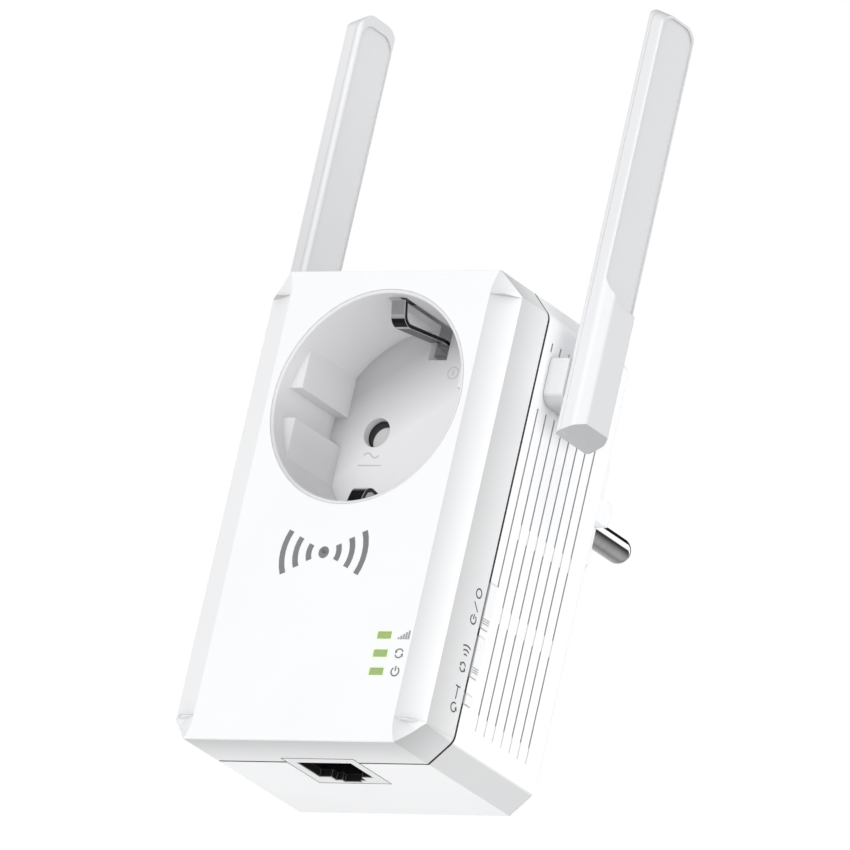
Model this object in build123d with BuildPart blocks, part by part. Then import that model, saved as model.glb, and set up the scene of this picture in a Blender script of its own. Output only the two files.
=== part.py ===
from build123d import *
import os
from math import cos, radians, sin, sqrt, tan

# Plug-in wifi range extender with a pass-through earthed socket and two folding antennas.
# Millimetres. Origin: centre of the plug face, midway between the two pins.
# +X to the right seen from the front, +Y into the wall, +Z up.

# ---- Driving dimensions: housing
BODY_WIDTH = 53.7
BODY_HEIGHT = 87.8
BODY_DEPTH = 37.8
BODY_CENTRE_Z = -17.8        # the plug sits above the middle of the housing
CORNER_CUT = 4.3             # clipped corners of the outline
WALL = 2.0
BEVEL_WIDTH = 5.4            # bevels down the long sides of the front face
BEVEL_DEPTH = 2.35
BEVEL_CURL = 4.5             # height over which a bevel's inner edge curls out to the corner
EDGE_ROUNDING = 0.3          # small radius on the edges of the front face
SEAM_DEPTH = 11.2            # front face to the joint of cover and housing
SEAM_GAP = 0.5
LIP_LENGTH = 2.5             # tongue of the rear housing inside the cover
LIP_INSET = 1.05
CORNER_ROUNDING = 2.5        # side edges of the corner cuts, growing from nothing at the front
BACK_FILLET = 0.8
FIT = 0.08                   # clearance round parts that sit in an opening

# ---- Plug
BOSS_LENGTH = 14.3
BOSS_RADIUS = 18.7
BOSS_END_WALL = 3.0
PIN_PITCH = 19.0
PIN_RADIUS = 2.4
PIN_LENGTH = 19.0
PIN_TIP_RADIUS = 2.2
PIN_ROOT_RADIUS = 2.0        # thinner stretch inside the boss
PIN_ROOT_END = 0.3
GUIDE_FLAT_X = 16.3          # flats on both sides of the boss, which clear a socket's ribs
GUIDE_TAB_WIDTH = 4.3        # tab in the middle of each flat
EARTH_RECESS_WIDTH = 5.0
EARTH_RECESS_DEPTH = 2.2

# ---- Socket
SOCKET_Z = 2.4
SOCKET_RADIUS = 19.5
SOCKET_DEPTH = 17.5
SOCKET_FLOOR = 1.6
CUP_RADIUS = 20.9
RIM_RADIUS = 20.1
MOUTH_ROUNDING = 0.3
FLANGE_RADIUS = 21.6
PIN_HOLE_RADIUS = 2.75
RIB_X = 16.6                 # inner face of the guide ribs
RIB_GAP = 5.6
RIB_SETBACK = 3.0
CLIP_SLOT_WIDTH = 4.0
CLIP_SLOT_START = 2.2        # depth behind the front face
SHUTTER_THICKNESS = 2.2
SHUTTER_PAD_RADIUS = 4.2
SHUTTER_POCKET_RADIUS = 15.1
SHUTTER_PEG_RADIUS = 1.5
SPRING_POCKET_Z = -12.0      # middle of the spring's pocket, from the socket's axis
CONTACT_BORE_RADIUS = 2.45
CONTACT_RADIUS = 3.15
CONTACT_LENGTH = 12.0

# ---- Antennas
ANTENNA_INNER_X = 30.9
ANTENNA_OUTER_X = 36.0
ANTENNA_INNER_WIDTH = 11.0
ANTENNA_BLADE_X = 34.3       # outer face above the grip
ANTENNA_BLADE_WIDTH = 10.4
ANTENNA_OUTER_WIDTH = 6.9
ANTENNA_TOP_Z = 82.2
ANTENNA_BOTTOM_Z = 1.2
ANTENNA_FOOT_RISE = 2.4      # slope of the lower end, from inner to outer face
ANTENNA_TOP_DROP = 1.8       # slope of the upper end, from inner to outer face
ANTENNA_TOP_RADIUS = 3.4
ANTENNA_EDGE_RADIUS = 0.8
ANTENNA_RIDGE_RADIUS = 2.0   # soft ridge along the grip
ANTENNA_LID = 1.1            # thickness of the inner half
GRIP_TOP_Z = 26.4            # the thicker grip ends here and the blade begins
GRIP_CORNER_RADIUS = 5.5     # lower front corner of the blade
PANEL_RECESS = 0.3           # panel let into both faces of the blade
PANEL_RIM = 0.45
PANEL_TOP_RIM = 2.0          # wider rim above the panel on the inner face
HINGE_DEPTH = 19.8           # hinge axis behind the front face
HINGE_Z = 10.75
HUB_WIDTH = 11.4
HUB_HEIGHT = 8.7
HUB_RISE = 0.25              # the hub sits slightly above the hinge axis
HUB_ROUNDING = 2.6
BEARING_INNER_X = 22.9       # inner face of the bearing block in the housing wall
SPIGOT_END_X = 21.5
CLIP_GROOVE_X = 21.9
CLIP_GROOVE_RADIUS = 3.4
CLIP_THICKNESS = 0.7
SPIGOT_RADIUS = 4.0
SPIGOT_BORE = 2.4
HINGE_CLEARANCE = 0.06

# ---- Vents
VENT_COUNT = 8
VENT_PITCH = 2.7
VENT_WIDTH = 0.38
VENT_FIRST = 13.8            # depth of the first slit behind the front face
VENT_GROOVE = 0.12           # depth between and below the open spans
VENT_TOP_Z = 17.7
VENT_FADE_Z = -53.6
VENT_SPANS = ((-50.6, -33.7), (-30.7, -18.0), (-15.3, VENT_TOP_Z))

# ---- Network jack
JACK_WIDTH = 15.45
JACK_FRONT = 9.27            # depths behind the front face
JACK_REAR = 21.6
JACK_HEIGHT = 15.5
JACK_FRAME = 1.5
PORT_WIDTH = 11.7
PORT_FRONT = 11.35
PORT_REAR = 18.7
PORT_DEPTH = 13.0
CONTACT_WIRES = 8
WIRE_PITCH = 1.02
WIRE = 0.32
LATCH_STEPS = ((6.6, 20.3), (4.0, 21.1))   # width and rear edge of each step

# ---- Lights and buttons
LIGHT_X = 15.5
LIGHT_WIDTH = 2.7
LIGHT_HEIGHT = 1.1
LIGHT_Z = (-42.05, -45.4, -48.75)
BUTTON_MIDDLE = 12.45        # depth of the buttons behind the front face
BUTTON_DEPTH = 2.0
BUTTON_PROUD = 0.3
GRIP_LINES = 3               # cuts across the lower end of the long buttons
GRIP_PITCH = 0.42
GRIP_LINE = 0.2              # width and depth of a cut
BUTTONS = {                  # name: (centre z, length)
    "power": (-32.1, 8.3),
    "pair": (-41.5, 7.5),
    "reset": (-49.35, 1.9),
}

# ---- Boards and screws
BOARD = 1.2
POWER_BOARD = 1.6
BOARD_TOP_Z = -20.5
BOARD_BOTTOM_Z = -58.8
BOARD_HALF_WIDTH = 23.5
BOARD_NECK_HALF_WIDTH = 16.3
BOARD_NECK_Z = -52.0
BOARD_SCREW_X = 20.8
BOARD_SCREW_Z = -24.2
LEAD_PLUG_X = 14.0
LEAD_PLUG_Z = -24.2
CASE_SCREWS = ((-21.2, 20.3), (21.2, 20.3), (-20.3, -55.3), (20.3, -55.3))
POST_RADIUS = 3.0
POST_SCREW_DEPTH = 7.3       # the case screws' heads sit this deep in the rear posts
POST_SCREW_BORE = 2.4
STANDOFF_RADIUS = 2.2
EAR_RADIUS = 24.0            # distance of the socket's screw ears from its axis
EAR_ANGLE = 52.0
EAR_DEPTHS = (6.0, 7.5)      # front and back of an ear behind the front face
EAR_PAD_RADIUS = 2.6
EAR_WEB = 0.93               # where the web stands, as a share of the ear's distance
PILOT_RADIUS = 0.9           # holes the small screws cut their thread in
PILOT_START = 2.7
CASE_PILOT_RADIUS = 1.1
CASE_CLEARANCE_RADIUS = 1.4

# ---- Worked out from the above
REAR_Y = -BOSS_LENGTH
FRONT_Y = REAR_Y - BODY_DEPTH
SEAM_Y = FRONT_Y + SEAM_DEPTH
SIDE_X = BODY_WIDTH / 2
BOTTOM_Z = BODY_CENTRE_Z - BODY_HEIGHT / 2
INNER_FRONT_Y = FRONT_Y + WALL
INNER_REAR_Y = REAR_Y - WALL
HINGE_Y = FRONT_Y + HINGE_DEPTH
BUTTON_Y = FRONT_Y + BUTTON_MIDDLE
POST_SCREW_SEAT_Y = REAR_Y - POST_SCREW_DEPTH
EAR_FRONT_Y, EAR_BACK_Y = (FRONT_Y + depth for depth in EAR_DEPTHS)
PILOT_START_Y = FRONT_Y + PILOT_START
COVER_END_Y = SEAM_Y - SEAM_GAP / 2
HOUSING_START_Y = SEAM_Y + SEAM_GAP / 2
FLOOR_Y = FRONT_Y + SOCKET_DEPTH
FLOOR_BACK_Y = FLOOR_Y + SOCKET_FLOOR
PIN_X = PIN_PITCH / 2
JACK_FRONT_Y = FRONT_Y + JACK_FRONT
JACK_REAR_Y = FRONT_Y + JACK_REAR
BOARD_BACK_Y = JACK_FRONT_Y - 0.07
BOARD_FRONT_Y = BOARD_BACK_Y - BOARD
POWER_FRONT_Y = REAR_Y - 4.9
POWER_BACK_Y = POWER_FRONT_Y + POWER_BOARD
SHUTTER_FRONT_Y = FLOOR_BACK_Y + 0.1
SHUTTER_BACK_Y = SHUTTER_FRONT_Y + SHUTTER_THICKNESS
COVER_PLATE_Y = SHUTTER_BACK_Y + 0.25
COVER_PLATE = 1.2
CONTACT_FRONT_Y = COVER_PLATE_Y + COVER_PLATE + 0.25
CONTACT_BACK_Y = CONTACT_FRONT_Y + CONTACT_LENGTH
EARS = tuple(
    (EAR_RADIUS * cos(radians(angle)), SOCKET_Z + EAR_RADIUS * sin(radians(angle)))
    for angle in (EAR_ANGLE, 180 - EAR_ANGLE, 180 + EAR_ANGLE, -EAR_ANGLE)
)


def facing_front(y):
    """Plane at depth y drawn in (X, Z); extrusions go towards the front."""
    return Plane.XZ.offset(-y)


def facing_right(x):
    """Plane at x drawn in (Y, Z); extrusions go to the right."""
    return Plane.YZ.offset(x)


def block(x_span, y_span, z_span, mode=Mode.ADD):
    """Box between two corners in the part being built."""
    spans = (x_span, y_span, z_span)
    with Locations(tuple((low + high) / 2 for low, high in spans)):
        Box(*(high - low for low, high in spans), mode=mode)


def rod(radius, x, z, y_front, y_back, mode=Mode.ADD):
    """Cylinder along Y in the part being built."""
    with BuildSketch(facing_front(y_back)) as disc:
        with Locations((x, z)):
            Circle(radius)
    extrude(disc.sketch, amount=y_back - y_front, mode=mode)


def cross_rod(radius, y, z, x_left, x_right, mode=Mode.ADD):
    """Cylinder along X in the part being built."""
    with BuildSketch(facing_right(x_left)) as disc:
        with Locations((y, z)):
            Circle(radius)
    extrude(disc.sketch, amount=x_right - x_left, mode=mode)


def housing_section(y, inset):
    """The clipped-corner outline of the housing at depth y, shrunk by inset."""
    with BuildSketch(facing_front(y)) as section:
        with Locations((0, BODY_CENTRE_Z)):
            Rectangle(BODY_WIDTH - 2 * inset, BODY_HEIGHT - 2 * inset)
        chamfer(section.vertices(), length=CORNER_CUT - inset * (2 - sqrt(2)))
    return section.sketch


def curl_section(side, end, y, straight_x, corner_x):
    """Region outside a bevel's edge near one end: from straight_x it curls to corner_x at the corner."""
    corner_z = BODY_CENTRE_Z + end * BODY_HEIGHT / 2
    start = (side * straight_x, corner_z - end * BEVEL_CURL)
    corner = (side * corner_x, corner_z)
    outside_x = side * (SIDE_X + 2)
    with BuildSketch(facing_front(y)) as region:
        with BuildLine():
            if straight_x == corner_x:
                Line(start, corner)
            else:
                TangentArc(start, corner, tangent=(0, end))
            Polyline(
                corner,
                (corner[0], corner_z + end),
                (outside_x, corner_z + end),
                (outside_x, start[1]),
                start,
            )
        make_face()
    return region.sketch


def corner_waste(side, end):
    """What rounding removes from the outline's corner between a side and a corner cut, at the seam."""
    apex = Vector(side * SIDE_X, BODY_CENTRE_Z + end * (BODY_HEIGHT / 2 - CORNER_CUT))
    reach = CORNER_ROUNDING * tan(radians(22.5))
    on_side = apex + Vector(0, -end) * reach
    on_cut = apex + Vector(-side, end).normalized() * reach
    centre = on_side - Vector(side * CORNER_ROUNDING, 0)
    outwards = (apex - centre).normalized()
    with BuildSketch(facing_front(COVER_END_Y)) as waste:
        with BuildLine():
            ThreePointArc(on_side, centre + outwards * CORNER_ROUNDING, on_cut)
            Polyline(on_cut, apex + outwards, on_side)
        make_face()
    return waste.sketch


def board_section(y):
    """Outline of both circuit boards: notched at the lower corners for the case posts."""
    with BuildSketch(facing_front(y)) as section:
        with BuildLine():
            Polyline(
                (-BOARD_HALF_WIDTH, BOARD_TOP_Z),
                (BOARD_HALF_WIDTH, BOARD_TOP_Z),
                (BOARD_HALF_WIDTH, BOARD_NECK_Z),
                (BOARD_NECK_HALF_WIDTH, BOARD_NECK_Z),
                (BOARD_NECK_HALF_WIDTH, BOARD_BOTTOM_Z),
                (-BOARD_NECK_HALF_WIDTH, BOARD_BOTTOM_Z),
                (-BOARD_NECK_HALF_WIDTH, BOARD_NECK_Z),
                (-BOARD_HALF_WIDTH, BOARD_NECK_Z),
                close=True,
            )
        make_face()
        with Locations((-BOARD_SCREW_X, BOARD_SCREW_Z), (BOARD_SCREW_X, BOARD_SCREW_Z)):
            Circle(1.1, mode=Mode.SUBTRACT)
    return section.sketch


def screw(head_radius, shaft_radius, x, z, head_y, tip_y):
    """Pan-head screw along Y with a cross recess; it points from head_y to tip_y."""
    way = 1 if tip_y > head_y else -1
    head_height = 0.6 * head_radius
    with BuildPart() as piece:
        rod(head_radius, x, z, *sorted((head_y, head_y - way * head_height)))
        rod(shaft_radius, x, z, *sorted((head_y, tip_y)))
        slot = sorted((head_y - way * head_height, head_y - way * 0.4 * head_height))
        for wide, high in ((1.2, 0.3), (0.3, 1.2)):
            block(
                (x - wide / 2 * head_radius, x + wide / 2 * head_radius),
                slot,
                (z - high / 2 * head_radius, z + high / 2 * head_radius),
                mode=Mode.SUBTRACT,
            )
    return piece.part


def strip_along(points, radius, thickness, width):
    """Sheet-metal strip bent along (y, z) points, centred on x = 0."""
    with BuildPart() as piece:
        with BuildSketch(Plane.YZ) as profile:
            with BuildLine():
                FilletPolyline(*points, radius=radius)
            trace(line_width=thickness)
        extrude(profile.sketch, amount=width / 2, both=True)
    return piece.part


def cable(radius, points):
    """Round cable through a list of points."""
    with BuildPart() as piece:
        with BuildLine() as route:
            Spline(*points)
        with BuildSketch(Plane(origin=route.line @ 0, z_dir=route.line % 0)):
            Circle(radius)
        sweep()
    return piece.part


def keep(piece, name):
    """Labels a finished piece and writes it as its own node."""
    piece.label = name
    export_step(piece, f"parts/{name}.step")


def keep_group(pieces, name):
    """Writes identical or matching pieces as separate solids of one node."""
    keep(Compound(children=list(pieces)), name)


os.makedirs("parts", exist_ok=True)

# ---- Front cover: shell with bevelled long sides, socket opening and light windows
with BuildPart() as front_cover:
    extrude(housing_section(COVER_END_Y, 0), amount=COVER_END_Y - FRONT_Y)
    for side in (-1, 1):
        with BuildSketch(Plane.XY.offset(BOTTOM_Z + BEVEL_CURL)) as bevel:
            with BuildLine():
                Polyline(
                    (side * (SIDE_X - BEVEL_WIDTH), FRONT_Y),
                    (side * SIDE_X, FRONT_Y + BEVEL_DEPTH),
                    (side * (SIDE_X + 2), FRONT_Y + BEVEL_DEPTH),
                    (side * (SIDE_X + 2), FRONT_Y),
                    close=True,
                )
            make_face()
        extrude(bevel.sketch, amount=BODY_HEIGHT - 2 * BEVEL_CURL, mode=Mode.SUBTRACT)
        for end in (-1, 1):
            loft(
                [
                    curl_section(side, end, FRONT_Y, SIDE_X - BEVEL_WIDTH, SIDE_X - CORNER_CUT),
                    curl_section(side, end, FRONT_Y + BEVEL_DEPTH, SIDE_X, SIDE_X),
                ],
                ruled=True,
                mode=Mode.SUBTRACT,
            )
    face_edges = front_cover.faces().sort_by(Axis.Y)[0].edges().filter_by(Axis.X)
    fillet(face_edges, radius=EDGE_ROUNDING)
    for side in (-1, 1):
        for end in (-1, 1):
            crease_end = Vertex(
                side * SIDE_X,
                FRONT_Y + BEVEL_DEPTH,
                BODY_CENTRE_Z + end * (BODY_HEIGHT / 2 - CORNER_CUT),
            )
            loft([crease_end, corner_waste(side, end)], mode=Mode.SUBTRACT)
    extrude(housing_section(COVER_END_Y, WALL), amount=COVER_END_Y - INNER_FRONT_Y, mode=Mode.SUBTRACT)
    # the wall stays thick behind the bevels
    for side in (-1, 1):
        inner_x = SIDE_X - WALL
        with BuildSketch(Plane.XY.offset(BOTTOM_Z + CORNER_CUT)) as backing:
            with BuildLine():
                Polyline(
                    (side * (inner_x - 1.8), INNER_FRONT_Y - 0.1),
                    (side * (inner_x + 0.1), INNER_FRONT_Y - 0.1),
                    (side * (inner_x + 0.1), INNER_FRONT_Y + 1.6),
                    close=True,
                )
            make_face()
        extrude(backing.sketch, amount=BODY_HEIGHT - 2 * CORNER_CUT)
    extrude(
        housing_section(COVER_END_Y, LIP_INSET - 0.05),
        amount=LIP_LENGTH + 0.2,
        mode=Mode.SUBTRACT,
    )
    for x, z in CASE_SCREWS:
        rod(POST_RADIUS - 0.1, x, z, INNER_FRONT_Y - 0.1, COVER_END_Y + 0.05)
        rod(CASE_PILOT_RADIUS, x, z, PILOT_START_Y, COVER_END_Y + 0.1, mode=Mode.SUBTRACT)
    for x, z in EARS:
        rod(EAR_PAD_RADIUS - 0.3, x, z, INNER_FRONT_Y - 0.1, EAR_FRONT_Y - 0.05)
        rod(PILOT_RADIUS, x, z, PILOT_START_Y, EAR_FRONT_Y, mode=Mode.SUBTRACT)
    for x in (-BOARD_SCREW_X, BOARD_SCREW_X):
        rod(STANDOFF_RADIUS, x, BOARD_SCREW_Z, INNER_FRONT_Y - 0.1, BOARD_FRONT_Y - 0.05)
        rod(PILOT_RADIUS, x, BOARD_SCREW_Z, PILOT_START_Y, BOARD_FRONT_Y, mode=Mode.SUBTRACT)
    rod(RIM_RADIUS + FIT, 0, SOCKET_Z, FRONT_Y - 1, INNER_FRONT_Y + 0.01, mode=Mode.SUBTRACT)
    for z in LIGHT_Z:
        block(
            (LIGHT_X - LIGHT_WIDTH / 2 - FIT, LIGHT_X + LIGHT_WIDTH / 2 + FIT),
            (FRONT_Y - 1, INNER_FRONT_Y + 1),
            (z - LIGHT_HEIGHT / 2 - FIT, z + LIGHT_HEIGHT / 2 + FIT),
            mode=Mode.SUBTRACT,
        )
    block(
        (-JACK_WIDTH / 2 - FIT, JACK_WIDTH / 2 + FIT),
        (JACK_FRONT_Y - FIT, COVER_END_Y + 1),
        (BOTTOM_Z - 1, BOTTOM_Z + WALL + 0.5),
        mode=Mode.SUBTRACT,
    )
# the bevels' curled ends leave specks beside the corner cuts, which are dropped
keep(front_cover.part.solids().sort_by(SortBy.VOLUME)[-1], "front_cover")

# ---- Rear housing: shell with vents, plug boss, hinge bearings and button openings
with BuildPart() as rear_housing:
    extrude(housing_section(REAR_Y, 0), amount=REAR_Y - HOUSING_START_Y)
    along_y = rear_housing.edges().filter_by(Axis.Y)
    fillet([e for e in along_y if abs(e.center().X) > SIDE_X - 0.1], radius=CORNER_ROUNDING)
    fillet(rear_housing.faces().sort_by(Axis.Y)[-1].edges(), radius=BACK_FILLET)
    extrude(
        housing_section(INNER_REAR_Y, WALL),
        amount=INNER_REAR_Y - HOUSING_START_Y,
        mode=Mode.SUBTRACT,
    )
    # tongue behind the seam
    with BuildPart(mode=Mode.PRIVATE) as tongue:
        extrude(housing_section(HOUSING_START_Y + 1.5, LIP_INSET), amount=LIP_LENGTH + 1.5)
        extrude(
            housing_section(HOUSING_START_Y + 1.5, WALL),
            amount=LIP_LENGTH + 1.5,
            mode=Mode.SUBTRACT,
        )
    add(tongue.part)
    # plug boss
    rod(BOSS_RADIUS, 0, 0, INNER_REAR_Y, 0)
    with BuildSketch(facing_front(-BOSS_END_WALL)) as boss_cavity:
        Circle(BOSS_RADIUS - 2.5)
        Rectangle(
            2 * (GUIDE_FLAT_X - 2.0),
            2 * (BOSS_RADIUS - EARTH_RECESS_DEPTH - 2.0),
            mode=Mode.INTERSECT,
        )
    extrude(
        boss_cavity.sketch,
        amount=-BOSS_END_WALL - INNER_REAR_Y + 0.1,
        mode=Mode.SUBTRACT,
    )
    for side in (-1, 1):
        beside = sorted((side * GUIDE_FLAT_X, side * (BOSS_RADIUS + 1)))
        for half in (-1, 1):
            off_tab = sorted((half * GUIDE_TAB_WIDTH / 2, half * BOSS_RADIUS))
            block(beside, (REAR_Y, 1), off_tab, mode=Mode.SUBTRACT)
        above = sorted((side * (BOSS_RADIUS - EARTH_RECESS_DEPTH), side * (BOSS_RADIUS + 1)))
        block(
            (-EARTH_RECESS_WIDTH / 2, EARTH_RECESS_WIDTH / 2),
            (REAR_Y, 1),
            above,
            mode=Mode.SUBTRACT,
        )
        # passage for the earth clip into the boss
        block((-2.0, 2.0), (REAR_Y + 0.6, REAR_Y + 2.5), sorted((side * 14.0, side * 17.0)), mode=Mode.SUBTRACT)
        rod(PIN_ROOT_RADIUS + 0.05, side * PIN_X, 0, -BOSS_END_WALL - 1, 1, mode=Mode.SUBTRACT)
        rod(PIN_RADIUS + 0.05, side * PIN_X, 0, -0.5, 1, mode=Mode.SUBTRACT)
    # vents on both sides: a shallow groove with three open spans
    for side in (-1, 1):
        for index in range(VENT_COUNT):
            y = FRONT_Y + VENT_FIRST + index * VENT_PITCH
            slit = (y - VENT_WIDTH / 2, y + VENT_WIDTH / 2)
            beside_buttons = index == 0 and side == 1
            groove_bottom = BUTTONS["power"][0] + 4.2 if beside_buttons else VENT_FADE_Z
            groove = sorted((side * (SIDE_X - VENT_GROOVE), side * (SIDE_X + 1)))
            block(groove, slit, (groove_bottom, VENT_TOP_Z), mode=Mode.SUBTRACT)
            through = sorted((side * (SIDE_X - WALL - 0.5), side * (SIDE_X + 1)))
            spans = ((groove_bottom, VENT_TOP_Z),) if beside_buttons else VENT_SPANS
            for span in spans:
                block(through, slit, span, mode=Mode.SUBTRACT)
    # hinge bearings
    for side in (-1, 1):
        block(
            sorted((side * BEARING_INNER_X, side * SIDE_X)),
            (HINGE_Y - 6.6, HINGE_Y + 6.1),
            (HINGE_Z - 5.3, HINGE_Z + 5.3),
        )
        cross_rod(
            SPIGOT_RADIUS + HINGE_CLEARANCE,
            HINGE_Y,
            HINGE_Z,
            *sorted((side * (BEARING_INNER_X - 1), side * (SIDE_X + 1))),
            mode=Mode.SUBTRACT,
        )
    # button openings, open towards the seam
    for centre, length in BUTTONS.values():
        block(
            (SIDE_X - WALL - 0.5, SIDE_X + 1),
            (HOUSING_START_Y - LIP_LENGTH - 1, BUTTON_Y + BUTTON_DEPTH / 2 + FIT),
            (centre - length / 2 - FIT, centre + length / 2 + FIT),
            mode=Mode.SUBTRACT,
        )
    block(
        (-JACK_WIDTH / 2 - FIT, JACK_WIDTH / 2 + FIT),
        (HOUSING_START_Y - LIP_LENGTH - 1, JACK_REAR_Y + FIT),
        (BOTTOM_Z - 1, BOTTOM_Z + WALL + 0.5),
        mode=Mode.SUBTRACT,
    )
    # case posts with sunk screw heads, and standoffs for the power board
    for x, z in CASE_SCREWS:
        rod(POST_RADIUS, x, z, HOUSING_START_Y, INNER_REAR_Y + 0.1)
        rod(POST_SCREW_BORE, x, z, POST_SCREW_SEAT_Y, REAR_Y + 1, mode=Mode.SUBTRACT)
        rod(CASE_CLEARANCE_RADIUS, x, z, HOUSING_START_Y - 1, POST_SCREW_SEAT_Y + 1, mode=Mode.SUBTRACT)
    for x in (-BOARD_SCREW_X, BOARD_SCREW_X):
        rod(STANDOFF_RADIUS, x, BOARD_SCREW_Z, POWER_BACK_Y + 0.05, INNER_REAR_Y + 0.1)
        rod(PILOT_RADIUS, x, BOARD_SCREW_Z, POWER_BACK_Y, REAR_Y - 0.9, mode=Mode.SUBTRACT)
keep(rear_housing.part, "rear_housing")

# ---- Socket insert: cup with rim, flange, guide ribs, clip slots and shutter pocket
with BuildPart() as socket_insert:
    rod(RIM_RADIUS, 0, SOCKET_Z, FRONT_Y, INNER_FRONT_Y + 0.1)
    rod(FLANGE_RADIUS, 0, SOCKET_Z, INNER_FRONT_Y + 0.05, INNER_FRONT_Y + 1.5)
    rod(CUP_RADIUS, 0, SOCKET_Z, INNER_FRONT_Y + 0.05, FLOOR_BACK_Y)
    for x, z in EARS:
        rod(EAR_PAD_RADIUS, x, z, EAR_FRONT_Y, EAR_BACK_Y)
        # web between the ear and the cup
        rod(EAR_PAD_RADIUS, EAR_WEB * x, SOCKET_Z + EAR_WEB * (z - SOCKET_Z), EAR_FRONT_Y, EAR_BACK_Y)
    rod(SOCKET_RADIUS, 0, SOCKET_Z, FRONT_Y - 1, FLOOR_Y, mode=Mode.SUBTRACT)
    mouth = socket_insert.edges().filter_by(GeomType.CIRCLE).group_by(Axis.Y)[0].sort_by(SortBy.LENGTH)[0]
    fillet(mouth, radius=MOUTH_ROUNDING)
    for x, z in EARS:
        rod(CASE_PILOT_RADIUS, x, z, EAR_FRONT_Y - 0.5, EAR_BACK_Y + 1, mode=Mode.SUBTRACT)
    with BuildSketch(facing_front(FLOOR_Y + 0.1)) as ribs:
        with Locations((0, SOCKET_Z)):
            Circle(SOCKET_RADIUS + 0.3)
            Rectangle(2 * RIB_X, 2 * CUP_RADIUS, mode=Mode.SUBTRACT)
            Rectangle(2 * CUP_RADIUS, RIB_GAP, mode=Mode.SUBTRACT)
    extrude(ribs.sketch, amount=SOCKET_DEPTH - RIB_SETBACK + 0.1)
    # back of the floor: ring round the shutter, spring pocket and pivot peg
    with BuildSketch(facing_front(SHUTTER_BACK_Y + 0.15)) as pocket:
        with Locations((0, SOCKET_Z)):
            Circle(SHUTTER_POCKET_RADIUS)
        with Locations((PIN_X, SOCKET_Z + SPRING_POCKET_Z)):
            Rectangle(5.0, 8.0)
        with Locations((0, SOCKET_Z)):
            Circle(SHUTTER_PAD_RADIUS + PIN_X + 0.2, mode=Mode.SUBTRACT)
        with Locations((PIN_X, SOCKET_Z + SPRING_POCKET_Z + 1)):
            Rectangle(2.8, 8.0, mode=Mode.SUBTRACT)
    extrude(pocket.sketch, amount=SHUTTER_BACK_Y + 0.15 - FLOOR_BACK_Y + 0.1)
    rod(SHUTTER_PEG_RADIUS, 0, SOCKET_Z, FLOOR_BACK_Y - 0.1, COVER_PLATE_Y + COVER_PLATE)
    for side in (-1, 1):
        rod(PIN_HOLE_RADIUS, side * PIN_X, SOCKET_Z, FLOOR_Y - 1, FLOOR_BACK_Y + 1, mode=Mode.SUBTRACT)
        half_slot = (-CLIP_SLOT_WIDTH / 2, CLIP_SLOT_WIDTH / 2)
        wall_reach = sorted((SOCKET_Z + side * 18.0, SOCKET_Z + side * 22.0))
        block(half_slot, (FRONT_Y + CLIP_SLOT_START, FLOOR_BACK_Y + 1), wall_reach, mode=Mode.SUBTRACT)
        floor_reach = sorted((SOCKET_Z + side * 13.7, SOCKET_Z + side * 20.0))
        block(half_slot, (FLOOR_Y - 0.5, SHUTTER_BACK_Y + 1), floor_reach, mode=Mode.SUBTRACT)
keep(socket_insert.part, "socket_insert")

# ---- Shutter: two pads on a hub, turning behind the socket floor
with BuildPart() as pin_shutter:
    with BuildSketch(facing_front(SHUTTER_BACK_Y)) as rotor:
        with Locations((0, SOCKET_Z)):
            Circle(3.6)
            Rectangle(PIN_PITCH, 4.0)
        with Locations((-PIN_X, SOCKET_Z), (PIN_X, SOCKET_Z)):
            Circle(SHUTTER_PAD_RADIUS)
        with Locations((0, SOCKET_Z)):
            Circle(SHUTTER_PEG_RADIUS + HINGE_CLEARANCE, mode=Mode.SUBTRACT)
    extrude(rotor.sketch, amount=SHUTTER_THICKNESS)
keep(pin_shutter.part, "pin_shutter")

with BuildPart() as shutter_spring:
    spring_depth = 14.7
    spring_bottom = SOCKET_Z - spring_depth
    spring_height = spring_depth - SHUTTER_PAD_RADIUS - 0.25
    with BuildLine() as coil:
        Helix(
            pitch=1.0,
            height=spring_height,
            radius=0.85,
            center=(PIN_X, SHUTTER_BACK_Y - SHUTTER_THICKNESS / 2, spring_bottom),
        )
    with BuildSketch(Plane(origin=coil.line @ 0, z_dir=coil.line % 0)):
        Circle(0.16)
    sweep(is_frenet=True)
keep(shutter_spring.part, "shutter_spring")

with BuildPart() as shutter_cover:
    with BuildSketch(facing_front(COVER_PLATE_Y + COVER_PLATE)) as plate:
        with Locations((0, SOCKET_Z)):
            Circle(SHUTTER_POCKET_RADIUS)
        with Locations((PIN_X, SOCKET_Z + SPRING_POCKET_Z)):
            Rectangle(5.0, 8.0)
        with Locations((-PIN_X, SOCKET_Z), (PIN_X, SOCKET_Z)):
            Circle(PIN_HOLE_RADIUS + 0.15, mode=Mode.SUBTRACT)
        with Locations((0, SOCKET_Z)):
            Circle(SHUTTER_PEG_RADIUS + 0.05, mode=Mode.SUBTRACT)
    extrude(plate.sketch, amount=COVER_PLATE)
keep(shutter_cover.part, "shutter_cover")

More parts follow.
